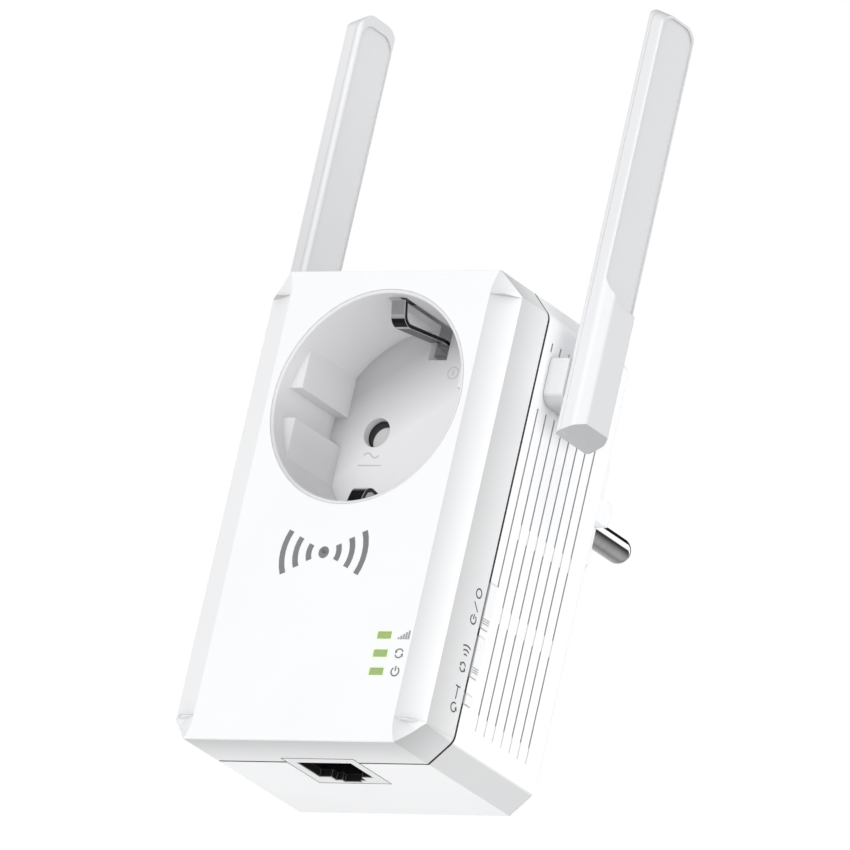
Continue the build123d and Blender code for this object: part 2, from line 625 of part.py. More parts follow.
# ---- Live and neutral contacts: slit socket tube, strip and tab on the plug pin
for side, name in ((1, "live"), (-1, "neutral")):
    x = side * PIN_X
    with BuildPart() as contact:
        rod(CONTACT_RADIUS, x, SOCKET_Z, CONTACT_FRONT_Y, CONTACT_BACK_Y)
        strip = sorted((x + side * 2.5, x + side * 3.3))
        block(strip, (CONTACT_BACK_Y - 4.0, -4.5), (-2.0, SOCKET_Z + 1.6))
        block(strip, (REAR_Y - 4.8, REAR_Y - 2.3), (-9.0, -1.0))
        block(sorted((x - side * 3.0, x + side * 3.3)), (-5.3, -4.5), (-3.0, 3.0))
        rod(1.45, x, 0, -6.0, -4.0, mode=Mode.SUBTRACT)
        rod(CONTACT_BORE_RADIUS, x, SOCKET_Z, CONTACT_FRONT_Y - 1, CONTACT_BACK_Y + 0.1, mode=Mode.SUBTRACT)
        block(
            (x - 0.5, x + 0.5),
            (CONTACT_FRONT_Y - 1, CONTACT_BACK_Y - 3.0),
            (SOCKET_Z, SOCKET_Z + 4.0),
            mode=Mode.SUBTRACT,
        )
    keep(contact.part, f"{name}_contact")

    with BuildPart() as pin:
        rod(PIN_RADIUS, x, 0, PIN_ROOT_END, PIN_LENGTH)
        fillet(pin.edges().sort_by(Axis.Y)[-1], radius=PIN_TIP_RADIUS)
        rod(PIN_ROOT_RADIUS, x, 0, -BOSS_END_WALL - 0.5, PIN_ROOT_END)
        rod(3.2, x, 0, -4.2, -BOSS_END_WALL - 0.05)
        rod(1.4, x, 0, -6.4, -4.2)
    keep(pin.part, f"{name}_pin")

# ---- Earth path: sprung clips of the socket, clips on the plug, and the post between them
CLIP_BEHIND = FRONT_Y + 23.6
socket_half = (
    (FRONT_Y + 3.2, 19.4),
    (FRONT_Y + 4.4, 15.25),
    (FRONT_Y + 16.4, 16.9),
    (CLIP_BEHIND, 16.9),
)
socket_path = [(y, SOCKET_Z + z) for y, z in socket_half]
socket_path += [(y, SOCKET_Z - z) for y, z in reversed(socket_half)]
keep(strip_along(socket_path, 2.0, 0.8, 3.0), "socket_earth_clip")

PLUG_CLIP_Y = REAR_Y + 1.5
plug_half = ((-1.6, 17.1), (-4.6, 18.25), (PLUG_CLIP_Y, 17.2))
plug_path = list(plug_half) + [(y, -z) for y, z in reversed(plug_half)]
keep(strip_along(plug_path, 1.0, 0.8, 3.6), "plug_earth_clip")

with BuildPart() as earth_post:
    rod(1.3, 0, 6.0, CLIP_BEHIND + 0.42, PLUG_CLIP_Y - 0.42)
keep(earth_post.part, "earth_post")

# ---- Light guide and the lights behind it
with BuildPart() as light_guide:
    block((LIGHT_X - 3.1, LIGHT_X + 3.1), (INNER_FRONT_Y + 0.1, INNER_FRONT_Y + 1.3), (-50.9, -39.9))
    for z in LIGHT_Z:
        block(
            (LIGHT_X - LIGHT_WIDTH / 2, LIGHT_X + LIGHT_WIDTH / 2),
            (FRONT_Y, BOARD_FRONT_Y - 1.1),
            (z - LIGHT_HEIGHT / 2, z + LIGHT_HEIGHT / 2),
        )
keep(light_guide.part, "light_guide")


def status_light(z):
    """Surface-mount lamp on the front of the main board."""
    top, middle, foot = (BOARD_FRONT_Y - gap for gap in (0.8, 0.4, 0.02))
    with BuildPart() as lamp:
        block((LIGHT_X - 0.8, LIGHT_X + 0.8), (middle, foot), (z - 0.4, z + 0.4))
        block((LIGHT_X - 0.5, LIGHT_X + 0.5), (top, middle), (z - 0.35, z + 0.35))
    return lamp.part


keep_group([status_light(z) for z in LIGHT_Z], "status_lights")

# ---- Buttons and the side switches they press
SWITCH_X = (17.4, 21.0)
PLUNGER_X = (19.6, 22.35)
CAP_STEM_X = 22.45
CAP_FLANGE_X = (23.4, 24.6)  # keeps the button behind the housing wall
for name, (centre, length) in BUTTONS.items():
    with BuildPart() as cap:
        half = length / 2
        block(
            (CAP_FLANGE_X[1] - 0.1, SIDE_X + BUTTON_PROUD),
            (BUTTON_Y - BUTTON_DEPTH / 2, BUTTON_Y + BUTTON_DEPTH / 2),
            (centre - half, centre + half),
        )
        fillet(cap.faces().sort_by(Axis.X)[-1].edges(), radius=0.25)
        if length > 2 * BUTTON_DEPTH:
            for index in range(GRIP_LINES):
                z = centre - half + (index + 2) * GRIP_PITCH
                block(
                    (SIDE_X + BUTTON_PROUD - GRIP_LINE, SIDE_X + 1),
                    (BUTTON_Y - BUTTON_DEPTH, BUTTON_Y + BUTTON_DEPTH),
                    (z - GRIP_LINE / 2, z + GRIP_LINE / 2),
                    mode=Mode.SUBTRACT,
                )
        block(CAP_FLANGE_X, (BUTTON_Y - 1.5, BUTTON_Y + 1.55), (centre - half - 0.5, centre + half + 0.5))
        block(
            (CAP_STEM_X, CAP_FLANGE_X[0]),
            (BUTTON_Y - 1.0, BUTTON_Y + 1.0),
            (centre - 0.9, centre + 0.9),
        )
    keep(cap.part, f"{name}_button")

    with BuildPart() as switch:
        block(SWITCH_X, (BOARD_BACK_Y + 0.03, BUTTON_Y + 3.05), (centre - 2.6, centre + 2.6))
        block(
            (SWITCH_X[0] + 1, SWITCH_X[1] + 0.1),
            (BUTTON_Y - 1.4, BUTTON_Y + 1.4),
            (centre - 0.85, centre + 0.85),
            mode=Mode.SUBTRACT,
        )
    keep(switch.part, f"{name}_switch")

    with BuildPart() as plunger:
        block(PLUNGER_X, (BUTTON_Y - 1.3, BUTTON_Y + 1.3), (centre - 0.75, centre + 0.75))
    keep(plunger.part, f"{name}_plunger")

# ---- Network jack: white frame in the bottom face, dark body, eight contact wires
with BuildPart() as jack_frame:
    block(
        (-JACK_WIDTH / 2, JACK_WIDTH / 2),
        (JACK_FRONT_Y, JACK_REAR_Y),
        (BOTTOM_Z, BOTTOM_Z + JACK_FRAME),
    )
    port = (BOTTOM_Z - 1, BOTTOM_Z + JACK_FRAME + 1)
    block(
        (-PORT_WIDTH / 2, PORT_WIDTH / 2),
        (FRONT_Y + PORT_FRONT, FRONT_Y + PORT_REAR),
        port,
        mode=Mode.SUBTRACT,
    )
    for width, rear in LATCH_STEPS:
        block((-width / 2, width / 2), (FRONT_Y + PORT_FRONT, FRONT_Y + rear), port, mode=Mode.SUBTRACT)
keep(jack_frame.part, "jack_frame")

with BuildPart() as network_jack:
    block(
        (-JACK_WIDTH / 2 + 0.1, JACK_WIDTH / 2 - 0.1),
        (JACK_FRONT_Y + 0.1, JACK_REAR_Y - 0.05),
        (BOTTOM_Z + JACK_FRAME + 0.02, BOTTOM_Z + JACK_HEIGHT),
    )
    port = (BOTTOM_Z, BOTTOM_Z + PORT_DEPTH)
    block(
        (-PORT_WIDTH / 2 - 0.2, PORT_WIDTH / 2 + 0.2),
        (FRONT_Y + PORT_FRONT - 0.4, FRONT_Y + PORT_REAR + 0.2),
        port,
        mode=Mode.SUBTRACT,
    )
    for width, rear in LATCH_STEPS:
        block((-width / 2, width / 2), (FRONT_Y + PORT_FRONT, FRONT_Y + rear), port, mode=Mode.SUBTRACT)
    # comb that keeps the contact wires apart
    for index in range(CONTACT_WIRES + 1):
        x = (index - CONTACT_WIRES / 2) * WIRE_PITCH
        block(
            (x - 0.25, x + 0.25),
            (FRONT_Y + PORT_FRONT - 0.5, FRONT_Y + PORT_FRONT + 0.4),
            (BOTTOM_Z + 2.7, BOTTOM_Z + PORT_DEPTH - 0.3),
        )
keep(network_jack.part, "network_jack")


def contact_wire(x):
    """Sprung wire that rises from the jack's front wall towards its roof."""
    with BuildPart() as wire:
        with BuildSketch(facing_right(x - WIRE / 2)) as bend:
            with BuildLine():
                Polyline(
                    (FRONT_Y + PORT_FRONT - 0.2, BOTTOM_Z + 3.1),
                    (FRONT_Y + PORT_FRONT + 2.2, BOTTOM_Z + 11.1),
                )
            trace(line_width=WIRE)
        extrude(bend.sketch, amount=WIRE)
    return wire.part


keep_group(
    [contact_wire((index - (CONTACT_WIRES - 1) / 2) * WIRE_PITCH) for index in range(CONTACT_WIRES)],
    "jack_contacts",
)

# ---- Main board and what it carries
with BuildPart() as main_board:
    extrude(board_section(BOARD_BACK_Y), amount=BOARD)
keep(main_board.part, "main_board")

with BuildPart() as wifi_chip:
    block((-12.0, -4.0), (BOARD_FRONT_Y - 0.95, BOARD_FRONT_Y - 0.05), (-38.0, -30.0))
keep(wifi_chip.part, "wifi_chip")

with BuildPart() as shield_can:
    can_x, can_z = (-18.0, 2.0), (-44.0, -26.5)
    sheet = 0.25
    block(can_x, (BOARD_FRONT_Y - 2.3, BOARD_FRONT_Y - 0.05), can_z)
    fillet(shield_can.edges().filter_by(Axis.Y), radius=0.8)
    block(
        (can_x[0] + sheet, can_x[1] - sheet),
        (BOARD_FRONT_Y - 2.3 + sheet, BOARD_FRONT_Y),
        (can_z[0] + sheet, can_z[1] - sheet),
        mode=Mode.SUBTRACT,
    )
keep(shield_can.part, "shield_can")

with BuildPart() as memory_chip:
    block((4.5, 9.7), (BOARD_FRONT_Y - 1.5, BOARD_FRONT_Y - 0.05), (-33.0, -27.0))
keep(memory_chip.part, "memory_chip")

with BuildPart() as network_transformer:
    block((-6.4, 6.4), (BOARD_BACK_Y + 0.05, BOARD_BACK_Y + 5.8), (-44.6, -37.4))
    chamfer(network_transformer.edges().filter_by(Axis.X).group_by(Axis.Y)[-1], length=0.6)
keep(network_transformer.part, "network_transformer")

LINK_PIN = 0.64
LINK_PIN_X = -20.5
LINK_PIN_Z = -48.48
LINK_PIN_PITCH = 2.54
with BuildPart() as link_pins:
    for index in range(4):
        x = LINK_PIN_X + LINK_PIN_PITCH * index
        block(
            (x - LINK_PIN / 2, x + LINK_PIN / 2),
            (BOARD_BACK_Y + 0.05, POWER_FRONT_Y - 0.05),
            (LINK_PIN_Z - LINK_PIN / 2, LINK_PIN_Z + LINK_PIN / 2),
        )
keep_group(link_pins.part.solids(), "board_link_pins")

# ---- Power board and what it carries
with BuildPart() as power_board:
    extrude(board_section(POWER_BACK_Y), amount=POWER_BOARD)
keep(power_board.part, "power_board")

ON_BOARD_Y = POWER_FRONT_Y - 0.05
with BuildPart() as transformer:
    block((-16.0, 0.0), (ON_BOARD_Y - 13.55, ON_BOARD_Y - 1.2), (-40.0, -32.0))
    block((-14.5, -1.5), (ON_BOARD_Y - 11.95, ON_BOARD_Y), (-44.0, -28.2))
    fillet(transformer.edges().filter_by(Axis.Y).group_by(Axis.Z)[0], radius=1.0)
    fillet(transformer.edges().filter_by(Axis.Y).group_by(Axis.Z)[-1], radius=1.0)
keep(transformer.part, "transformer")


def can_capacitor(radius, height, x, z):
    """Electrolytic capacitor standing on the power board."""
    with BuildPart() as can:
        rod(radius, x, z, ON_BOARD_Y - height, ON_BOARD_Y)
        fillet(can.edges().sort_by(Axis.Y)[0], radius=0.6)
    return can.part


keep_group([can_capacitor(4.0, 12.5, 7.5, z) for z in (-29.0, -38.5)], "smoothing_capacitors")
keep(can_capacitor(3.15, 11.0, 16.5, -41.0), "output_capacitor")

with BuildPart() as safety_capacitor:
    block((-22.6, -17.6), (ON_BOARD_Y - 10.95, ON_BOARD_Y), (-42.0, -29.5))
    fillet(safety_capacitor.edges().filter_by(Axis.Y), radius=0.4)
keep(safety_capacitor.part, "safety_capacitor")

with BuildPart() as fuse:
    with Locations((16.5, ON_BOARD_Y - 1.8, -29.6)):
        Cylinder(1.75, 9.0)
        Cylinder(1.45, 11.0)
keep(fuse.part, "fuse")

with BuildPart() as varistor:
    cross_rod(3.4, ON_BOARD_Y - 3.75, -24.3, -18.3, -14.9)
    fillet(varistor.edges().filter_by(GeomType.CIRCLE), radius=0.8)
keep(varistor.part, "varistor")

with BuildPart() as rectifier:
    block((11.5, 17.5), (ON_BOARD_Y - 2.4, ON_BOARD_Y), (-50.5, -46.0))
    chamfer(rectifier.edges().filter_by(Axis.Z).group_by(Axis.Y)[0], length=0.4)
keep(rectifier.part, "rectifier")

with BuildPart() as insulation_sheet:
    block((-22.0, 22.0), (FRONT_Y + 17.2, FRONT_Y + 17.5), (-44.5, -26.5))
keep(insulation_sheet.part, "insulation_sheet")

keep_group(
    [
        cable(
            0.8,
            [
                (side * 12.4, REAR_Y - 3.6, -9.2),
                (side * 12.2, REAR_Y - 6.3, -14.5),
                (side * 11.4, REAR_Y - 7.7, -20.0),
                (side * 11.0, ON_BOARD_Y - 0.7, -23.4),
            ],
        )
        for side in (-1, 1)
    ],
    "mains_wires",
)

# ---- Antennas, built for the right side and mirrored to the left
ANTENNA_FRONT_Y = HINGE_Y - ANTENNA_INNER_WIDTH / 2
ANTENNA_BACK_Y = HINGE_Y + ANTENNA_INNER_WIDTH / 2
BLADE_FRONT_Y = HINGE_Y - ANTENNA_BLADE_WIDTH / 2
TOP_SLOPE = ANTENNA_TOP_DROP / (ANTENNA_OUTER_X - ANTENNA_INNER_X)
FOOT_SLOPE = ANTENNA_FOOT_RISE / (ANTENNA_OUTER_X - ANTENNA_INNER_X)
FOOT_Z = ANTENNA_BOTTOM_Z - 1
LID_X = ANTENNA_INNER_X + ANTENNA_LID
BLADE_CAVITY_X = 33.45
GRIP_CAVITY_X = 34.6


def antenna_half_section(side):
    """Corners of the antenna's cross-section on one side of its middle."""
    return [
        (ANTENNA_INNER_X, HINGE_Y + side * ANTENNA_INNER_WIDTH / 2),
        (ANTENNA_BLADE_X, HINGE_Y + side * ANTENNA_BLADE_WIDTH / 2),
        (ANTENNA_OUTER_X, HINGE_Y + side * ANTENNA_OUTER_WIDTH / 2),
    ]


def blade_outline(x, inset, top_z):
    """Blade seen from the side: rounded above, with a large lower front corner at the grip."""
    front = BLADE_FRONT_Y + inset
    back = 2 * HINGE_Y - front
    low = GRIP_TOP_Z + inset
    with BuildSketch(facing_right(x)) as outline:
        with BuildLine():
            Polyline((front, low), (front, top_z), (back, top_z), (back, low), close=True)
        make_face()
        # sketch vertices are in the sketch's own axes: X is depth, Y is height
        fillet(outline.vertices().group_by(Axis.Y)[-1], radius=ANTENNA_TOP_RADIUS - inset)
        lower_front = outline.vertices().group_by(Axis.Y)[0].sort_by(Axis.X)[0]
        fillet(lower_front, radius=GRIP_CORNER_RADIUS - inset)
    return outline.sketch


with BuildPart() as antenna_blank:
    with BuildSketch(Plane.XY.offset(FOOT_Z)) as section:
        with BuildLine():
            Polyline(*antenna_half_section(-1), *reversed(antenna_half_section(1)), close=True)
        make_face()
        ridges = section.vertices().filter_by_position(Axis.X, LID_X, ANTENNA_OUTER_X - 1)
        fillet(ridges, radius=ANTENNA_RIDGE_RADIUS)
        ends = section.vertices().group_by(Axis.X)
        fillet(ends[0] + ends[-1], radius=ANTENNA_EDGE_RADIUS)
    extrude(section.sketch, amount=ANTENNA_TOP_Z - FOOT_Z)
    # rounded top that slopes down towards the outer face
    with BuildSketch(facing_right(ANTENNA_INNER_X - 1)) as side_view:
        with BuildLine():
            low, high = FOOT_Z - 1, ANTENNA_TOP_Z + TOP_SLOPE
            front, back = ANTENNA_FRONT_Y, ANTENNA_BACK_Y
            Polyline((front, low), (front, high), (back, high), (back, low), close=True)
        make_face()
        fillet(side_view.vertices().group_by(Axis.Y)[-1], radius=ANTENNA_TOP_RADIUS)
    extrude(side_view.sketch, amount=10, dir=(1, 0, -TOP_SLOPE), mode=Mode.INTERSECT)
    # lower end that slopes up towards the outer face
    with BuildSketch(facing_front(ANTENNA_BACK_Y + 1)) as foot:
        with BuildLine():
            Polyline(
                (ANTENNA_INNER_X - 1, ANTENNA_BOTTOM_Z - FOOT_SLOPE),
                (ANTENNA_OUTER_X + 1, ANTENNA_BOTTOM_Z + ANTENNA_FOOT_RISE + FOOT_SLOPE),
                (ANTENNA_OUTER_X + 1, FOOT_Z - 9),
                (ANTENNA_INNER_X - 1, FOOT_Z - 9),
                close=True,
            )
        make_face()
    extrude(foot.sketch, amount=ANTENNA_INNER_WIDTH + 2, mode=Mode.SUBTRACT)
    # the outer side is cut back above the grip
    extrude(
        blade_outline(ANTENNA_BLADE_X, 0, ANTENNA_TOP_Z),
        amount=ANTENNA_OUTER_X - ANTENNA_BLADE_X + 1,
        mode=Mode.SUBTRACT,
    )
    block(
        (ANTENNA_BLADE_X, ANTENNA_OUTER_X + 1),
        (BLADE_FRONT_Y + GRIP_CORNER_RADIUS, ANTENNA_BACK_Y + 1),
        (GRIP_TOP_Z, ANTENNA_TOP_Z + 1),
        mode=Mode.SUBTRACT,
    )

with BuildPart() as antenna_shell:
    add(antenna_blank.part)
    block(
        (ANTENNA_INNER_X - 1, LID_X + 0.05),
        (ANTENNA_FRONT_Y - 1, ANTENNA_BACK_Y + 1),
        (FOOT_Z - 1, ANTENNA_TOP_Z + 1),
        mode=Mode.SUBTRACT,
    )
    block((LID_X, GRIP_CAVITY_X), (HINGE_Y - 3.1, HINGE_Y + 3.1), (5.0, 25.0), mode=Mode.SUBTRACT)
    block((LID_X, BLADE_CAVITY_X), (HINGE_Y - 3.1, HINGE_Y + 3.1), (24.0, 78.0), mode=Mode.SUBTRACT)
    panel_top = ANTENNA_TOP_Z - TOP_SLOPE * (ANTENNA_BLADE_X - ANTENNA_INNER_X) - PANEL_RIM
    extrude(
        blade_outline(ANTENNA_BLADE_X - PANEL_RECESS, PANEL_RIM, panel_top),
        amount=1,
        mode=Mode.SUBTRACT,
    )

with BuildPart() as antenna_base:
    add(antenna_blank.part)
    block(
        (LID_X, ANTENNA_OUTER_X + 1),
        (ANTENNA_FRONT_Y - 1, ANTENNA_BACK_Y + 1),
        (FOOT_Z - 1, ANTENNA_TOP_Z + 1),
        mode=Mode.SUBTRACT,
    )
    extrude(
        blade_outline(ANTENNA_INNER_X - 1, PANEL_RIM, ANTENNA_TOP_Z - PANEL_TOP_RIM),
        amount=1 + PANEL_RECESS,
        mode=Mode.SUBTRACT,
    )
    # hinge hub beside the housing
    with BuildSketch(facing_right(SIDE_X + 0.1)) as hub:
        with Locations((HINGE_Y, HINGE_Z + HUB_RISE)):
            Rectangle(HUB_WIDTH, HUB_HEIGHT)
        fillet(hub.vertices().group_by(Axis.Y)[0], radius=HUB_ROUNDING)
        fillet(hub.vertices().group_by(Axis.Y)[-1], radius=0.7)
    extrude(hub.sketch, amount=ANTENNA_INNER_X - SIDE_X - 0.05)
    # hollow spigot through the housing wall, grooved for its clip
    cross_rod(SPIGOT_RADIUS, HINGE_Y, HINGE_Z, SPIGOT_END_X, SIDE_X + 0.2)
    with BuildSketch(facing_right(CLIP_GROOVE_X)) as groove:
        with Locations((HINGE_Y, HINGE_Z)):
            Circle(SPIGOT_RADIUS + 1)
            Circle(CLIP_GROOVE_RADIUS, mode=Mode.SUBTRACT)
    extrude(groove.sketch, amount=CLIP_THICKNESS + 0.08, mode=Mode.SUBTRACT)
    cross_rod(SPIGOT_BORE, HINGE_Y, HINGE_Z, SPIGOT_END_X - 0.5, LID_X + 1, mode=Mode.SUBTRACT)

with BuildPart() as hinge_clip:
    with BuildSketch(facing_right(CLIP_GROOVE_X + 0.04)) as ring:
        with Locations((HINGE_Y, HINGE_Z)):
            Circle(CLIP_GROOVE_RADIUS + 2)
            Circle(CLIP_GROOVE_RADIUS + 0.05, mode=Mode.SUBTRACT)
        with Locations((HINGE_Y + SPIGOT_RADIUS + 0.5, HINGE_Z)):
            Rectangle(4.0, 4.2, mode=Mode.SUBTRACT)
    extrude(ring.sketch, amount=CLIP_THICKNESS)

with BuildPart() as antenna_element:
    block((32.7, 33.3), (HINGE_Y - 2.6, HINGE_Y + 2.6), (18.0, 76.5))

antenna_lead = cable(
    0.6,
    [
        (22.2, HINGE_Y, HINGE_Z),
        (27.0, HINGE_Y, HINGE_Z),
        (31.4, HINGE_Y, HINGE_Z + 0.2),
        (33.2, HINGE_Y, HINGE_Z + 2.6),
        (33.0, HINGE_Y, HINGE_Z + 7.1),
    ],
)

for name, solid in (
    ("antenna_shell", antenna_shell.part),
    ("antenna_base", antenna_base.part),
    ("hinge_clip", hinge_clip.part),
    ("antenna_element", antenna_element.part),
    ("antenna_lead", antenna_lead),
):
    keep(solid, f"right_{name}")
    with BuildPart() as left_piece:
        mirror(solid, about=Plane.YZ)
    keep(left_piece.part, f"left_{name}")


def spring_washer(side):
    """Washer between the hinge clip and the bearing."""
    with BuildPart() as washer:
        face = sorted((side * (BEARING_INNER_X - 0.22), side * (BEARING_INNER_X - 0.04)))
        cross_rod(SPIGOT_RADIUS + 1.6, HINGE_Y, HINGE_Z, *face)
        cross_rod(SPIGOT_RADIUS + HINGE_CLEARANCE, HINGE_Y, HINGE_Z, *face, mode=Mode.SUBTRACT)
    return washer.part


def board_lead(side):
    """Aerial cable from the hinge down to the main board."""
    return cable(
        0.6,
        [
            (side * 21.2, HINGE_Y + 0.3, HINGE_Z),
            (side * 19.4, HINGE_Y + 2.5, 7.6),
            (side * 18.6, HINGE_Y + 4.2, 0.0),
            (side * 18.4, HINGE_Y + 3.7, -11.0),
            (side * 16.5, HINGE_Y - 1.3, -20.0),
            (side * 14.2, HINGE_Y - 6.7, LEAD_PLUG_Z + 0.2),
            (side * LEAD_PLUG_X, BOARD_BACK_Y + 1.65, LEAD_PLUG_Z),
        ],
    )


def lead_plug(side):
    """Round push-on connector on the back of the main board."""
    with BuildPart() as plug:
        rod(1.6, side * LEAD_PLUG_X, LEAD_PLUG_Z, BOARD_BACK_Y + 0.05, BOARD_BACK_Y + 1.4)
    return plug.part


keep_group([spring_washer(side) for side in (-1, 1)], "hinge_washers")
keep_group([board_lead(side) for side in (-1, 1)], "board_leads")
keep_group([lead_plug(side) for side in (-1, 1)], "lead_plugs")

# ---- Screws and label
SMALL_SCREW = (1.8, PILOT_RADIUS - 0.05)      # radii of head and shaft
CASE_SCREW = (2.2, CASE_PILOT_RADIUS - 0.05)
keep_group(
    [screw(*CASE_SCREW, x, z, POST_SCREW_SEAT_Y + 0.05, PILOT_START_Y + 2.8) for x, z in CASE_SCREWS],
    "case_screws",
)
keep_group(
    [screw(*SMALL_SCREW, x, z, EAR_BACK_Y + 0.05, PILOT_START_Y + 0.2) for x, z in EARS],
    "socket_screws",
)
board_screws = []
for x in (-BOARD_SCREW_X, BOARD_SCREW_X):
    board_screws.append(screw(*SMALL_SCREW, x, BOARD_SCREW_Z, BOARD_BACK_Y + 0.02, PILOT_START_Y + 0.8))
    board_screws.append(screw(*SMALL_SCREW, x, BOARD_SCREW_Z, POWER_FRONT_Y - 0.02, REAR_Y - 1.2))
keep_group(board_screws, "board_screws")

with BuildPart() as rating_label:
    block((-17.0, 17.0), (REAR_Y + 0.02, REAR_Y + 0.17), (-57.0, -27.0))
    fillet(rating_label.edges().filter_by(Axis.Y), radius=1.5)
keep(rating_label.part, "rating_label")
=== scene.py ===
from math import cos, pi, radians, sin

import bmesh
import bpy
from mathutils import Matrix, Vector


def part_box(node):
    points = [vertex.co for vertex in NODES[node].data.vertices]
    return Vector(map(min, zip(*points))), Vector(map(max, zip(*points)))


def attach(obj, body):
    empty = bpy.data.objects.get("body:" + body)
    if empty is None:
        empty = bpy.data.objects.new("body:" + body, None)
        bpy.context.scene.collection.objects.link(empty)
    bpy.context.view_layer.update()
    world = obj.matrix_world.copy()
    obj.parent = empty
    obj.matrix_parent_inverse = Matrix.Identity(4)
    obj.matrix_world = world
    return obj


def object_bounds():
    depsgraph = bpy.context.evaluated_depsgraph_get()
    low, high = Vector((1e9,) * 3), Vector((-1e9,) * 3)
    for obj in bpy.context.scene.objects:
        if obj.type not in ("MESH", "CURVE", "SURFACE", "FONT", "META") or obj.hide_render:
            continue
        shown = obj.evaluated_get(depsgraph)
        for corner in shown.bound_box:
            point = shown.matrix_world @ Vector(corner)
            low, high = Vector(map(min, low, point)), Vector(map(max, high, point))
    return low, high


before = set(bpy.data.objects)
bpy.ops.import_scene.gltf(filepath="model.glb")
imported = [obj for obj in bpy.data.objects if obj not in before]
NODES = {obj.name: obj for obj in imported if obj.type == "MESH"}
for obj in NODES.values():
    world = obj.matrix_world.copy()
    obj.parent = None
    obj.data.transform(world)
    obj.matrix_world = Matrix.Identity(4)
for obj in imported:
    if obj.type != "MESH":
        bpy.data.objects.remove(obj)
cad_bounds = [list(corner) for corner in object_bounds()]

MM = 0.001

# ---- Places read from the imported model
COVER_LOW, COVER_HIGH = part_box("front_cover")
FACE_Y = COVER_LOW.y
SIDE_X = COVER_HIGH.x
SEAM_Y = COVER_HIGH.y
JACK_LOW, JACK_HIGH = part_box("jack_frame")
LABEL_LOW, LABEL_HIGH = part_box("rating_label")

# ---- Places worked out from the part's own dimensions
BOSS_LENGTH = 14.3 * MM
HOUSING_BACK_Y = -BOSS_LENGTH
SEAM_GAP = 0.45 * MM
TONGUE_Y = SEAM_Y + SEAM_GAP
PIN_X = 9.5 * MM
SOCKET_Z = 2.4 * MM
SOCKET_DEPTH = 17.5 * MM
FLOOR_Y = FACE_Y + SOCKET_DEPTH
MOUTH_RADIUS = 20.14             # in mm, like all sizes of marks
BEVEL_WIDTH = 5.4 * MM
WINDOW_X = 15.5 * MM
WINDOW_Z = (-42.05 * MM, -45.4 * MM, -48.75 * MM)
WINDOW_SIZE = (2.7 * MM, 1.1 * MM)
MIDDLE_BLEND = 0.1 * MM          # half of the width over which left changes to right


# ======================================================================
# Node helpers
# ======================================================================

LOOK_SAMPLES = 4


